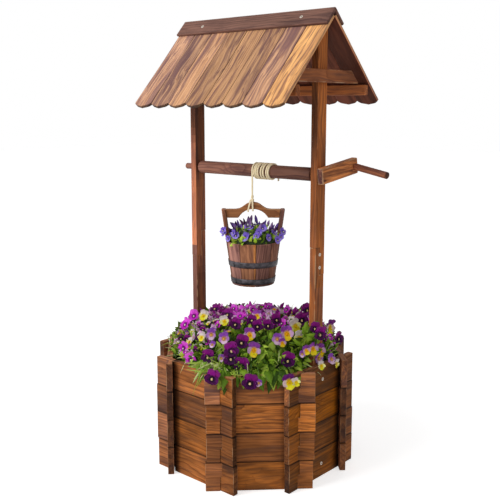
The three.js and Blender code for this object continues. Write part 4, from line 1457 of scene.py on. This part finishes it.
def copies(count, size, faces):
    """The same faces for every copy of a shape with size points."""
    faces = np.asarray(faces)
    return (faces[None] + np.arange(count)[:, None, None] * size).reshape(-1, faces.shape[1])


def grid_faces(rows, columns):
    """Quads of a grid of points."""
    i, j = np.meshgrid(np.arange(rows - 1), np.arange(columns - 1), indexing="ij")
    a = (i * columns + j).ravel()
    return np.stack((a, a + 1, a + columns + 1, a + columns), -1)


def leaf_sheet(origins, directions, ups, lengths, widths, curls, tints, rows=7, columns=3):
    """Points, faces, paint and lay of many leaves. A leaf is x = length u, half width
    width sin(pi u^0.8)^0.8 with a wavy edge, folded up from its midrib and curled down by
    curl u^2."""
    count = len(origins)
    u = np.linspace(0.02, 0.99, rows)[None, :, None]
    v = np.linspace(-1, 1, columns)[None, None, :]
    size, wide, curl = (np.asarray(a)[:, None, None] for a in (lengths, widths, curls))
    spread = np.sin(math.pi * u**0.8) ** 0.8
    wavy = 1 + 0.10 * np.sin(22 * u)
    y = wide * v * spread * wavy
    z = 0.30 * wide * np.abs(v) * spread - curl * size * u**2
    local = xyz(size * u, y, z).reshape(count, -1, 3)
    along = unit(directions)
    side = unit(np.cross(ups, along))
    points = placed(local, origins, along, side, np.cross(along, side)).reshape(-1, 3)
    faces = [copies(count, rows * columns, grid_faces(rows, columns)[:, ::-1])]
    rib = 1 + 0.25 * (1 - np.abs(v)) - 0.12 * u
    paint = (np.asarray(tints)[:, None, None, :] * rib[..., None]).reshape(-1, 3)
    lay = np.tile(xyz(u, v, 0.0).reshape(1, -1, 3), (count, 1, 1))
    lay[..., 2] += np.arange(count)[:, None]
    return points, faces, paint, lay.reshape(-1, 3)


def painted(obj, paint, lay):
    """Stores each point's colour and the coordinates of its veins."""
    paint = np.column_stack((np.clip(paint, 0, 1), np.ones(len(paint))))
    give(obj, "paint", paint, "FLOAT_COLOR")
    give(obj, "lay", lay)


def foliage(name, sheets, body, look="petal", thick=0.0003):
    """One piece from several sheets of leaves or petals, made solid."""
    points, kinds, paints, lays = zip(*sheets)
    starts = np.cumsum([0, *map(len, points)])
    faces = []
    for start, kind in zip(starts, kinds):
        for part in kind:
            faces += (part + start).tolist()
    obj = piece(name, np.vstack(points), faces, body, look)
    painted(obj, np.vstack(paints), np.vstack(lays))
    solid = obj.modifiers.new("thickness", "SOLIDIFY")
    solid.thickness = thick
    solid.offset = 0.0


def disc_faces(count, rings, steps):
    """Faces of copied discs: a fan of triangles round the hub, then rings of quads."""
    here = 1 + np.arange(steps)
    after = 1 + (here % steps)
    row = steps * np.arange(rings - 1)[:, None]
    quads = np.stack((row + here, row + steps + here, row + steps + after, row + after), -1)
    size = 1 + rings * steps
    fans = np.stack((0 * here, here, after), -1)
    return [copies(count, size, quads.reshape(-1, 4)), copies(count, size, fans)]


def pansies(places, normals, widths, kinds, draw, rings=(0.34, 0.68, 0.9, 1.0), steps=14):
    """Sheets of five petals each. A petal is a disc: at ring share q and angle a its point is
    (length (0.5 + 0.5 q cos a), width q sin a) from the flower's middle, cupped by q^2 and
    ruffled at its edge."""
    q = np.array(rings)[:, None]
    a = np.linspace(0, 2 * math.pi, steps, endpoint=False)[None, :]
    count = len(places)
    spin = draw.uniform(-0.35, 0.35, count)
    down, side = square_to(normals, spin)
    normals = unit(normals)
    sheets = []
    for turn, long_share, wide_share, layer in PETALS:
        long = widths * long_share * draw.uniform(0.93, 1.07, count)
        if layer == 1:
            long = long * np.array([0.74 if k in ("deep", "magenta") else 1.0 for k in kinds])
        wide = widths * wide_share * 0.5 * draw.uniform(0.93, 1.07, count)
        phase = draw.uniform(0, 6.28, count)[:, None, None]
        cup = draw.uniform(0.05, 0.5, count)[:, None, None]
        share = 0.5 + 0.5 * q * np.cos(a)
        y = wide[:, None, None] * q * np.sin(a) * (1 - 0.18 * (1 - 0.5 * q * (1 + np.cos(a))))
        ruffle = 0.07 * np.sin(5 * a + phase) * q**3
        lift = 0.0009 * layer + 0.0025
        z = widths[:, None, None] * (cup * 0.35 * share**2 + ruffle) + lift
        local = xyz(long[:, None, None] * share, y, z).reshape(count, -1, 3)
        hub = xyz(long * 0.5, 0.0, widths * 0.02 + lift)[:, None, :]
        local = np.concatenate((hub, local), 1)
        angle = math.radians(turn)
        along = down * math.cos(angle) + side * math.sin(angle)
        across = side * math.cos(angle) - down * math.sin(angle)
        points = placed(local, places, along, across, normals)
        part = 1 if layer < 0 else 2 + layer
        main, blotch = (np.array([KINDS[k][i] for k in kinds])[:, None, :] for i in (part, 4))
        reach = np.linalg.norm(local[..., :2], axis=-1) / widths[:, None]
        near = np.clip((0.24 - reach) / 0.08, 0, 1)[..., None]
        edge = np.clip((reach - 0.36) / 0.14, 0, 1)[..., None]
        paint = main * draw.uniform(0.85, 1.15, count)[:, None, None]
        paint = paint * (1 - near) + blotch * near
        paint = paint * (1 - 0.2 * edge) + 0.04 * edge * paint.max(-1, keepdims=True)
        bearing = np.arctan2(local[..., 1], local[..., 0] + 1e-6)
        lay = xyz(reach, bearing, np.arange(count)[:, None])
        faces = disc_faces(count, len(rings), steps)
        sheets.append((points.reshape(-1, 3), faces, paint.reshape(-1, 3), lay.reshape(-1, 3)))
    sheets.append(eyes(places, normals, down, side, widths, kinds))
    return sheets


def eyes(places, normals, down, side, widths, kinds):
    """The bright eye of each pansy: a small dome, flattest at its middle."""
    steps, rings = 8, np.array((0.6, 1.0))
    count = len(places)
    a = np.linspace(0, 2 * math.pi, steps, endpoint=False)[None, :]
    q = rings[:, None]
    size = 1 + steps * len(rings)
    reach = widths[:, None, None] * 0.085
    z = 0.0042 + 0.0012 * (1 - q**2)
    local = xyz(reach * (0.35 + q * np.cos(a)), reach * q * np.sin(a) * 0.8, z)
    hub = xyz(widths * 0.085 * 0.35, 0.0, 0.0054)[:, None, :]
    local = np.concatenate((hub, local.reshape(count, -1, 3)), 1)
    points = placed(local, places, down, side, normals)
    paint = np.repeat([KINDS[k][5] for k in kinds], size, axis=0)
    return points.reshape(-1, 3), disc_faces(count, len(rings), steps), paint, 0 * paint


def furled(name, tips, axis, shades, draw, body):
    """Furled buds that end at their tips: radius = wide sin(pi u)^0.7 (1.1 - 0.55 u) along a
    leaning axis, twisted in three soft lobes."""
    count, rows, columns = len(tips), 9, 10
    axis = unit(unit(axis) + draw.normal(0, 0.16, (count, 3)))
    size = draw.uniform(0.017, 0.026, count)[:, None, None]
    wide = size * draw.uniform(0.18, 0.27, count)[:, None, None]
    u = np.linspace(0.0, 1.0, rows)[None, :, None]
    a = np.linspace(0, 2 * math.pi, columns, endpoint=False)[None, None, :]
    radius = wide * (np.sin(math.pi * (0.03 + 0.94 * u)) ** 0.7) * (1.1 - 0.55 * u)
    radius = radius * (1 + 0.16 * np.cos(3 * a + 4 * u))
    local = xyz(size * (u - 1), radius * np.cos(a), radius * np.sin(a))
    side = unit(np.cross(axis, (0.3, 0.2, 0.93)))
    points = placed(local.reshape(count, -1, 3), tips, axis, side, np.cross(axis, side))
    paint = np.array(shades)[draw.choice(len(shades), count)] * draw.uniform(0.8, 1.3, (count, 1))
    obj = outward(tubes(name, points.reshape(local.shape), body, "petal"))
    lay = np.broadcast_to(xyz(u, a, 0.0), local.shape)
    painted(obj, np.repeat(paint, rows * columns, axis=0), lay.reshape(-1, 3))


# Greens of the leaves, from the deepest to the palest
GREENS = np.array(
    ((0.036, 0.08, 0.008), (0.10, 0.195, 0.014), (0.205, 0.35, 0.024), (0.38, 0.54, 0.06))
)


class WELL_OT_planting(WellStep, bpy.types.Operator):
    """Plants the wall with pansies, leaves and fine stems"""

    bl_idname = "well.planting"
    bl_label = "Pansies"

    def execute(self, context):
        draw = np.random.default_rng(77)
        self.bed()
        self.blooms(draw)
        self.leaves(draw)
        self.stems(draw)
        self.buds(draw)
        self.undergrowth(np.random.default_rng(12))
        return {"FINISHED"}

    def bed(self):
        """A dark green mass of painted shade under the leaves: the mound's own turned profile, a
        little smaller, its radius and height stirred by sums of sines."""
        steps = 72
        out, rise = np.array(DOME_SHARES, float).T
        share, known = np.linspace(0, 1, 16), np.linspace(0, 1, len(out))
        radius = 0.955 * MOUND_RADIUS * np.array((0, 1, *np.interp(share, known, out)))
        radius[0], radius[-1] = 0.955e-4, 1e-4
        rise = (MOUND_TOP - MOUND_SHOULDER) * np.interp(share, known, rise)
        height = np.array((0.2705, 0.2705, *(MOUND_SHOULDER + rise - 0.032)))
        rows = lathe_points(np.stack((radius, height), 1), steps)
        angle = np.linspace(0, 2 * math.pi, steps, endpoint=False)
        stir = np.sin(9 * angle + 60 * height[:, None]) * np.sin(5 * angle - 90 * radius[:, None])
        rows[2:-1, :, 2] += 0.0045 * stir[2:-1]
        outward(tubes("planting_shade", [rows], "well", "bed", "planter_pansies"))

    def blooms(self, draw):
        """The pansies seen, each at its place, and others strewn between and behind them."""
        places, kinds, widths = [], [], []
        full = self.sizes.bloom_width
        for table, share in ((SEEN, 1.0), (SEEN_SMALL, 0.62)):
            for kind, spots in table.items():
                for turn, out, height in spots:
                    spot = around(math.radians(turn), out, height)[1] / 1000
                    places.append(tuple(spot))
                    kinds.append(kind)
                    widths.append(full * share * KINDS[kind][0] * draw.uniform(0.93, 1.07))
        chosen, everything, tries, foot, far = len(places), 350, 9000, 0.35, 9.0
        taken = np.full((everything, 3), far)
        taken[:chosen] = places
        for turn, share, low, height in draw.uniform(size=(tries, 4)):
            turn, out = 2 * math.pi * turn, MOUND_RADIUS * math.sqrt(share)
            spot = np.array((out, out, float(dome_height(out)) - 0.019))
            if low < foot:
                spot = np.array((MOUND_RADIUS, MOUND_RADIUS, 0.305 + 0.020 * height))
            spot *= (math.cos(turn), math.sin(turn), 1)
            towards, across = spot @ TOWARDS_VIEW, spot @ ACROSS_VIEW
            room = 0.028
            if -0.06 < towards < 0.085 or across < -0.1 and -0.06 < towards:
                room = 0.0125 if across < -0.08 else 0.016
            crowded = ((taken - spot) ** 2).sum(1).min() < room**2
            if crowded or self.by_post(spot) or towards > (0.085 if across > -0.06 else 0.15):
                continue
            names, odds = self.zone(across, towards)
            taken[len(places)] = spot
            places.append(tuple(spot))
            kinds.append(names[draw.choice(len(names), p=odds)])
            wide = draw.uniform(0.38, 0.66) if across < -0.08 else draw.uniform(0.45, 0.75)
            widths.append(full * KINDS[kinds[-1]][0] * wide)
            if len(places) == everything:
                break
        places, widths = np.array(places), np.array(widths)
        free = np.arange(len(places)) >= chosen
        kinds = np.array(kinds)
        widths *= np.where(places[:, 2] > 0.389, np.where(kinds == "magenta", 0.64, 0.8), 1.0)
        radial = places * (1, 1, 0)
        reach = np.linalg.norm(radial, axis=1, keepdims=True)
        lean = np.where(free[:, None], 0.5, 0.75)
        normals = radial / np.maximum(reach, 1e-6) * (reach / MOUND_RADIUS) ** 1.5
        normals = normals + lean * TOWARDS_VIEW + UP * (0.30 + 0.5 * (1 - reach / MOUND_RADIUS))
        loose = np.where(free, 0.55, np.where(kinds == "magenta", 0.5, 0.2))[:, None]
        normals = unit(normals + loose * draw.normal(0, 1, normals.shape))
        hang = np.clip((reach - 0.203) / 0.03, 0, 1)
        places = places + np.where(free[:, None], 0.0, 0.004 + 0.016 * hang) * TOWARDS_VIEW
        for name, part, form in (
            ("pansy_blooms", ~free, ()), ("pansy_filling", free, ((0.5, 1.0), 11))
        ):
            table = (values[part] for values in (places, normals, widths, kinds))
            foliage(name, pansies(*table, draw, *form), "well")

    def zone(self, across, towards):
        """Kinds of pansy and their odds: pink and magenta to the left, purple at the back."""
        kinds = ("magenta", "pink", "deep", "primrose", "lilac", "bicolour")
        if towards < -0.05:
            return kinds, (0.28, 0.34, 0.18, 0.12, 0.04, 0.04)
        if across < -0.08:
            return kinds, (0.12, 0.22, 0.22, 0.26, 0.12, 0.06)
        return kinds, (0.34, 0.40, 0.08, 0.14, 0.0, 0.04)

    def by_post(self, spots):
        """Whether each spot is where a post stands."""
        middle = (POST_OUTER + POST_INNER) / 2
        return (np.abs(np.abs(spots[..., 0]) - middle) < 0.03) & (np.abs(spots[..., 1]) < 0.034)

    def surface(self, radial, steep):
        """The mound's way out, level at its foot and upright at its top."""
        return unit(radial * steep**2 + UP * (1.05 - 0.75 * steep))

    def leaves(self, draw):
        """Leaves over the mound and its foot, leaves that hang over the front boards, and a
        sheaf in front of the right post."""
        count = self.sizes.leaves
        turn = draw.uniform(0, 2 * math.pi, count)
        low = draw.uniform(size=count) < 0.34
        out = np.where(low, MOUND_RADIUS * 0.97, MOUND_RADIUS * np.sqrt(draw.uniform(0, 1, count)))
        sunk = 0.029 + 0.01 * ((out < 0.14) & (np.cos(turn + 0.85) < -0.2))
        height = np.where(low, draw.uniform(0.290, 0.326, count), dome_height(out) - sunk)
        radial, origins = around(turn, out, height)
        keep = ~self.by_post(origins)
        towards, across = origins @ TOWARDS_VIEW, origins @ ACROSS_VIEW
        crowded = (np.abs(towards - 0.015) < 0.075) | (across < -0.1)
        keep &= ~crowded | low | (draw.uniform(size=count) < np.where(across < -0.08, 0.85, 0.45))
        origins, radial, out, low = origins[keep], radial[keep], out[keep], low[keep]
        count = len(origins)
        steep = (out / MOUND_RADIUS)[:, None]
        surface = self.surface(radial, steep)
        loose = draw.normal(0, 1, (count, 3))
        directions = unit(loose + 0.7 * surface + 0.2 * radial - 0.1 * UP)
        sunk = 0.15 - (directions * surface).sum(1, keepdims=True)
        directions += surface * -np.clip(sunk, 0, None)
        lengths = self.sizes.leaf_length * draw.uniform(0.5, 1.0, count) * (0.6 + 0.4 * steep[:, 0])
        widths = lengths * draw.uniform(0.16, 0.26, count)
        curls = draw.uniform(0.05, 0.4, count)
        pick = draw.choice(4, count, p=(0.30, 0.34, 0.24, 0.12))
        pick = np.minimum(pick + (~low & (draw.uniform(size=count) < 0.5)), 3)
        tints = GREENS[pick] * draw.uniform(0.75, 1.25, (count, 1))
        ups = surface + 0.25 * draw.normal(0, 1, (count, 3))
        sheet = leaf_sheet(origins, directions, ups, lengths, widths, curls, tints)

        count = 90
        turn = np.radians(draw.uniform(-72, -22, count))
        side = np.round(turn / (math.pi / 4)) * math.pi / 4
        out = (WALL_APOTHEM - 0.012) / np.cos(turn - side)
        origins = around(turn, out, draw.uniform(0.294, 0.306, count))[1]
        facing = spokes(side)
        loose = draw.normal(0, 0.35, (count, 3)) * (1, 1, 0)
        directions = facing * draw.uniform(0.35, 0.9, (count, 1)) + loose
        directions -= UP * draw.uniform(0.1, 0.5, (count, 1))
        tints = GREENS[draw.choice(4, count, p=(0.2, 0.4, 0.25, 0.15))]
        lengths = draw.uniform(0.022, 0.046, count)
        hanging = leaf_sheet(
            origins, directions, facing + UP, lengths, lengths * 0.24,
            draw.uniform(0.25, 0.8, count), tints,
        )
        count = 60
        origins = draw.uniform((0.194, -0.05, 0.316), (0.217, -0.027, 0.378), (count, 3))
        directions = unit(draw.normal((0.55, -0.15, 0.75), 0.4, (count, 3)))
        lengths = draw.uniform(0.024, 0.042, count)
        tints = GREENS[draw.choice(4, count, p=(0.2, 0.35, 0.3, 0.15))]
        facing = TOWARDS_VIEW + draw.normal(0, 0.4, (count, 3))
        by_post = leaf_sheet(
            origins, directions, facing, lengths, lengths * 0.22, lengths * 8, tints
        )
        foliage("pansy_leaves", [sheet, hanging, by_post], "well", "leaf", 0.00035)

    def stems(self, draw):
        """Fine pale stems and ribbons that tumble over the boards, thickest at the left front."""
        count = 560
        front = draw.uniform(size=count) < 0.3
        turn = np.where(front, draw.normal(-77, 5, count), draw.uniform(-180, 180, count))
        turn = np.radians(turn)
        high = (draw.uniform(size=count) < 0.5) & ~front
        out = MOUND_RADIUS * np.where(high, np.sqrt(draw.uniform(0.55, 1, count)), 1 + 0.06 * front)
        height = np.where(high, dome_height(out) - 0.027, draw.uniform(0.296, 0.318, count))
        radial, origins = around(turn, out, height)
        keep = ~self.by_post(origins)
        origins, radial = origins[keep], radial[keep]
        count = len(origins)
        front = front[keep]
        loose = draw.normal(0, 0.5, (count, 3)) * np.where(front, 1.4, 1)[:, None]
        directions = radial * 0.9 + loose + UP * np.where(front, -0.8, 0.1)[:, None]
        directions[:, 2] = np.minimum(directions[:, 2], np.where(front, 0.1, 0.5))
        directions = unit(directions)
        lengths = draw.uniform(0.014, 0.036, count) * np.where(front, 1.3, 1)
        widths = draw.uniform(0.0007, 0.0015, count) * np.where(front, 2.3, 1)
        curls = draw.uniform(-0.8, 1.5, count)
        pale = np.array(((0.44, 0.60, 0.10), (0.25, 0.45, 0.05), (0.66, 0.72, 0.30)))
        tints = pale[draw.choice(3, count)] * draw.uniform(0.8, 1.15, (count, 1))
        ups = radial + UP + np.where(front, 1.2, 0)[:, None] * draw.normal(0, 1, (count, 3))
        sheet = leaf_sheet(origins, directions, ups, lengths, widths, curls, tints)
        tables = [spots for table in (SEEN, SEEN_SMALL) for spots in table.values()]
        outer = np.array([spot for spots in tables for spot in spots if spot[1] > 218], float)
        turn = np.radians(outer[:, 0])
        radial, feet = around(turn, 0.2, 0.319)
        tips = around(turn, *outer[:, 1:].T)[1] / 1000 + 0.012 * TOWARDS_VIEW
        size = np.linalg.norm(tips - feet, axis=1)
        thin, tints = np.full(len(tips), 0.0018), np.tile((0.12, 0.22, 0.04), (len(tips), 1))
        hung = leaf_sheet(feet, tips - feet, radial, size, thin, 0 * thin, tints)
        foliage("pansy_stems", [sheet, hung], "well", "leaf", 0.0004)

    def undergrowth(self, draw):
        """Broad leaves lying close over the shaded mass on every side."""
        count = 900
        turn = draw.uniform(0, 2 * math.pi, count)
        out = MOUND_RADIUS * np.sqrt(draw.uniform(0, 0.96, count))
        radial, origins = around(turn, out, dome_height(out) - 0.036)
        keep = ~self.by_post(origins)
        origins, radial, steep = origins[keep], radial[keep], (out / MOUND_RADIUS)[keep, None]
        count = len(origins)
        surface = self.surface(radial, steep)
        loose = draw.normal(0, 1, (count, 3))
        directions = unit(loose - surface * ((loose * surface).sum(1, keepdims=True) - 0.5))
        lengths = self.sizes.leaf_length * draw.uniform(0.6, 1.0, count)
        # Painted shade: these leaves lie deep in the planting and take the darker greens, dimmed
        # further.
        tints = GREENS[draw.choice(4, count, p=(0.4, 0.38, 0.17, 0.05))]
        tints = tints * draw.uniform(0.5, 0.95, (count, 1))
        ups = surface + 0.2 * draw.normal(0, 1, (count, 3))
        curls = draw.uniform(0.1, 0.5, count)
        sheet = leaf_sheet(origins, directions, ups, lengths, lengths * 0.3, curls, tints)
        foliage("pansy_undergrowth", [sheet], "well", "leaf", 0.00035)

    def buds(self, draw):
        """Furled buds standing above the flowers along the top of the mound."""
        count = 34
        across = np.linspace(-0.16, 0.16, count) + draw.uniform(-0.005, 0.005, count)
        towards = draw.uniform(-0.06, 0.05, count)
        tips = across[:, None] * ACROSS_VIEW + towards[:, None] * TOWARDS_VIEW
        height = dome_height(np.hypot(across, towards)) + draw.uniform(-0.008, 0.005, count)
        tips += UP * height[:, None]
        shades = ((0.50, 0.03, 0.42), (0.22, 0.008, 0.19), (0.80, 0.42, 0.66))
        furled("pansy_buds", tips, tips * (2, 2, 0) + UP * 0.4, shades, draw, "well")


# Blossoms and tips of the buds in the bucket's own frame, in millimetres
BLOSSOMS = (1.04, 1.06, 1.0) * np.array(
    (
        (-63, 6, 604), (-56, -16, 598), (-18, -51, 603), (24, -18, 618), (60, -8, 594),
        (-28, 12, 620), (8, -50, 605), (-42, -34, 602), (36, -40, 600), (-6, -20, 620),
        (0, 44, 606), (34, 34, 604), (-38, 40, 604), (52, 20, 602), (-56, 26, 600), (10, 14, 622),
        (-16, 56, 598), (22, 56, 598), (-70, -24, 607), (-60, -38, 598), (-72, -20, 614),
        (68, -26, 600), (71, -22, 612), (58, -40, 594), (14, -38, 612), (-47, -30, 610),
        (50, -28, 608),
    ),
)
BUDS = np.array(
    (
        (-3, 20, 650), (42, 16, 637), (16, 16, 634), (-68, 8, 620), (-42, 14, 638), (66, 10, 630),
        (56, 12, 626), (-18, 14, 634), (-53, 12, 628), (7, -14, 628), (-8, 6, 641), (-32, -8, 630),
        (28, 2, 627), (-60, -2, 617), (-72, 16, 609), (-12, 42, 630), (22, 40, 626), (-34, 36, 624),
        (46, -10, 622), (-24, -30, 617), (50, 34, 616), (-46, -24, 612), (2, 58, 616),
        (-26, 18, 642), (5, 20, 650), (-60, 8, 632), (72, 22, 634), (34, 20, 638), (-72, 20, 620),
        (70, 22, 618), (20, -18, 632), (-50, -8, 628), (60, -8, 622), (-36, 6, 640), (-12, 14, 648),
        (28, -4, 636), (-22, -18, 630), (50, 4, 634), (-46, 4, 636), (0, -20, 634),
    ),
)


class WELL_OT_bucket_flowers(WellStep, bpy.types.Operator):
    """Plants the bucket with violets"""

    bl_idname = "well.bucket_flowers"
    bl_label = "Bucket flowers"

    def execute(self, context):
        draw = np.random.default_rng(91)
        rim = BUCKET_RIM_RADIUS - STAVE_THICK - 0.0012
        dome = ((1, -2), (0.96, 8), (0.82, 22), (0.55, 32), (0.25, 36), (0.0017, 37))
        profile = [(1e-4, 0.490), (cone(0.49) - STAVE_THICK - 0.0012, 0.490)]
        profile += [(rim * share, BUCKET_RIM + rise / 1000) for share, rise in dome]
        # A dark dome of painted shade under the violets, inside the rim.
        core = bucket_place(lathe_points(profile, 40))
        outward(tubes("bucket_shade", [core], "bucket", "bed", "bucket_flowers"))

        self.greens(draw, rim)
        self.blossoms(draw)
        tips, feet = self.stalk_ends(BUDS)
        shades = ((0.09, 0.03, 0.15), (0.24, 0.13, 0.56), (0.10, 0.035, 0.12), (0.34, 0.20, 0.46))
        furled("violet_buds", tips, tips - feet, shades, draw, "bucket")
        return {"FINISHED"}

    def stalk_ends(self, tops):
        """The tops, and where their stalks leave the bed, half as far out."""
        tops = tops / 1000
        feet = tops * (0.5, 0.5, 0.0) + UP * (BUCKET_RIM + 0.004)
        return bucket_place(tops), bucket_place(feet)

    def greens(self, draw, rim):
        """Leaves over a low dome inside the rim, leaning further out towards it."""
        count = 330
        turn = draw.uniform(0, 2 * math.pi, count)
        out = rim * np.sqrt(draw.uniform(0, 1, count))
        height = BUCKET_RIM + 0.002 + 0.022 * (1 - (out / rim) ** 2.2)
        radial, origins = around(turn, out, height)
        radial, origins = bucket_place(radial) - bucket_place(np.zeros(3)), bucket_place(origins)
        aim = draw.normal(0, 0.5, (count, 3)) + 0.9 * radial * (out / rim)[:, None] ** 2 + UP * 0.8
        lengths = draw.uniform(0.012, 0.025, count)
        tints = GREENS[draw.choice(4, count, p=(0.1, 0.2, 0.35, 0.35))]
        tints = tints * draw.uniform(1.1, 1.9, (count, 1))
        leaves = leaf_sheet(
            origins, aim, radial + 0.4 * draw.normal(0, 1, (count, 3)), lengths, lengths * 0.22,
            draw.uniform(0.1, 0.5, count), tints,
        )
        sheets = [leaves, self.stalks(draw)]
        foliage("violet_leaves", sheets, "bucket", "leaf")

    def stalks(self, draw):
        """A thin ribbon of a stem under every bud and blossom."""
        tips, feet = self.stalk_ends(np.vstack((BUDS, BLOSSOMS)))
        rise = tips - feet
        size = np.linalg.norm(rise, axis=1) - 0.006
        tints = np.tile((0.05, 0.12, 0.03), (len(tips), 1))
        side = draw.normal(0, 1, tips.shape)
        return leaf_sheet(feet, rise, side, size, np.full(len(tips), 0.0009), 0 * size, tints)

    def blossoms(self, draw):
        """Violets at their places, facing out of the bunch and more to the front."""
        places = bucket_place(BLOSSOMS / 1000)
        middle = bucket_place(np.array((0.0, 0.0, 0.585)))
        normals = unit(places - middle)
        facing = (normals @ TOWARDS_VIEW > -0.1)[:, None]
        normals = normals + np.where(facing, 0.4, 0.0) * TOWARDS_VIEW
        normals = unit(normals + draw.normal(0, 0.4, places.shape))
        widths = self.sizes.bloom_width * draw.uniform(0.36, 0.6, len(places))
        sheets = pansies(places, normals, widths, ["violet"] * len(places), draw)
        foliage("violet_blossoms", sheets, "bucket")


class WELL_OT_inside(WellStep, bpy.types.Operator):
    """Dresses the floor panel and the soil inside the wall"""

    bl_idname = "well.inside"
    bl_label = "Floor and soil"

    def execute(self, context):
        copied(
            "floor_panel", "floor_boards", "well", "wall wall_edge",
            board_axes(RIGHT, BACK), 1501, (0.7, 0.1, 0.0), 0.0005,
        )
        s = Shade("soil")
        crumbs = s.noise(s.here(), 160.0, 5.0, 0.7)
        base = s.mix(s.step(crumbs, 0.35, 0.7), (0.010, 0.006, 0.004), (0.045, 0.028, 0.018))
        soil = s.surface(base, Roughness=0.95, Normal=s.bump(crumbs, 0.004, 1.0))
        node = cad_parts["planter_soil"]
        node.data.materials.clear()
        node.data.materials.append(soil)
        return {"FINISHED"}


class WELL_OT_stage(WellStep, bpy.types.Operator):
    """Lays the pale floor and sets the soft studio light"""

    bl_idname = "well.stage"
    bl_label = "Stage"

    def execute(self, context):
        mesh = bpy.data.meshes.new("floor")
        reach = 14.0
        z = CAD_BOX[0].z - 0.0005
        mesh.from_pydata(
            [(-reach, -reach, z), (reach, -reach, z), (reach, reach, z), (-reach, reach, z)],
            [], [(0, 1, 2, 3)],
        )
        floor = linked("floor", mesh)
        s = Shade("studio_floor")
        cloud = s.noise(s.here(), 30.0, 2.0)
        base = s.mix(cloud, (0.80, 0.80, 0.80), (0.84, 0.84, 0.84))
        seen = self.seen(s)
        s.surface(
            base, Roughness=0.7, Emission_Color=(1.0, 1.0, 1.0, 1.0),
            Emission_Strength=s.times(seen, 0.62),
        )
        mesh.materials.append(s.material)

        s = Shade("studio", bpy.data.worlds.new("studio"))
        level = s.line(self.seen(s), 0.6, 0.4)
        sky = s.node("Background", {"Color": (1.0, 1.0, 1.0, 1.0), "Strength": level})
        s.node("OutputWorld", {"Surface": sky.outputs[0]})
        context.scene.world = s.material

        for name, place, size, power in (
            ("key", (-0.9, -2.6, 2.5), 1.6, 62.0),
            ("fill", (2.4, -1.6, 1.6), 1.8, 10.0),
        ):
            lamp = bpy.data.lights.new(name, "AREA")
            lamp.shape = "SQUARE"
            lamp.size = size
            lamp.energy = power
            aimed(name, lamp, place, (0.0, 0.0, 0.55))
        return {"FINISHED"}

    def seen(self, s):
        """1 for the rays that see the stage itself, 0 for those that light the well by it."""
        path = s.node("LightPath").outputs
        seen = s.math("MAXIMUM", path["Is Camera Ray"], path["Is Glossy Ray"])
        return s.math("MAXIMUM", seen, path["Is Transmission Ray"])


STEPS = (
    WELL_OT_camera, WELL_OT_materials, WELL_OT_rope, WELL_OT_wall, WELL_OT_posts, WELL_OT_roof,
    WELL_OT_ridge, WELL_OT_windlass, WELL_OT_bucket, WELL_OT_hoops, WELL_OT_screws,
    WELL_OT_planting, WELL_OT_bucket_flowers, WELL_OT_inside, WELL_OT_stage,
)


class WELL_PT_sidebar(bpy.types.Panel):
    """Lists the well's sizes, colours and steps in the 3D view's sidebar"""

    bl_idname = "WELL_PT_sidebar"
    bl_label = "Wishing well"
    bl_space_type = "VIEW_3D"
    bl_region_type = "UI"
    bl_category = "Well"

    def draw(self, context):
        layout = self.layout
        for group in (context.scene.well_sizes, context.scene.well_colours):
            box = layout.box()
            for key in group.bl_rna.properties.keys():
                if key not in ("rna_type", "name"):
                    box.prop(group, key)
        for step in STEPS:
            layout.operator(step.bl_idname)


CLASSES = (WellSizes, WellColours, *STEPS, WELL_PT_sidebar)


def register():
    for one in CLASSES:
        bpy.utils.register_class(one)
    bpy.types.Scene.well_sizes = PointerProperty(type=WellSizes)
    bpy.types.Scene.well_colours = PointerProperty(type=WellColours)


def unregister():
    del bpy.types.Scene.well_colours
    del bpy.types.Scene.well_sizes
    for one in reversed(CLASSES):
        bpy.utils.unregister_class(one)


def main():
    register()
    for step in STEPS:
        group, name = step.bl_idname.split(".")
        getattr(getattr(bpy.ops, group), name)()
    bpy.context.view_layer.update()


if __name__ == "__main__":
    main()
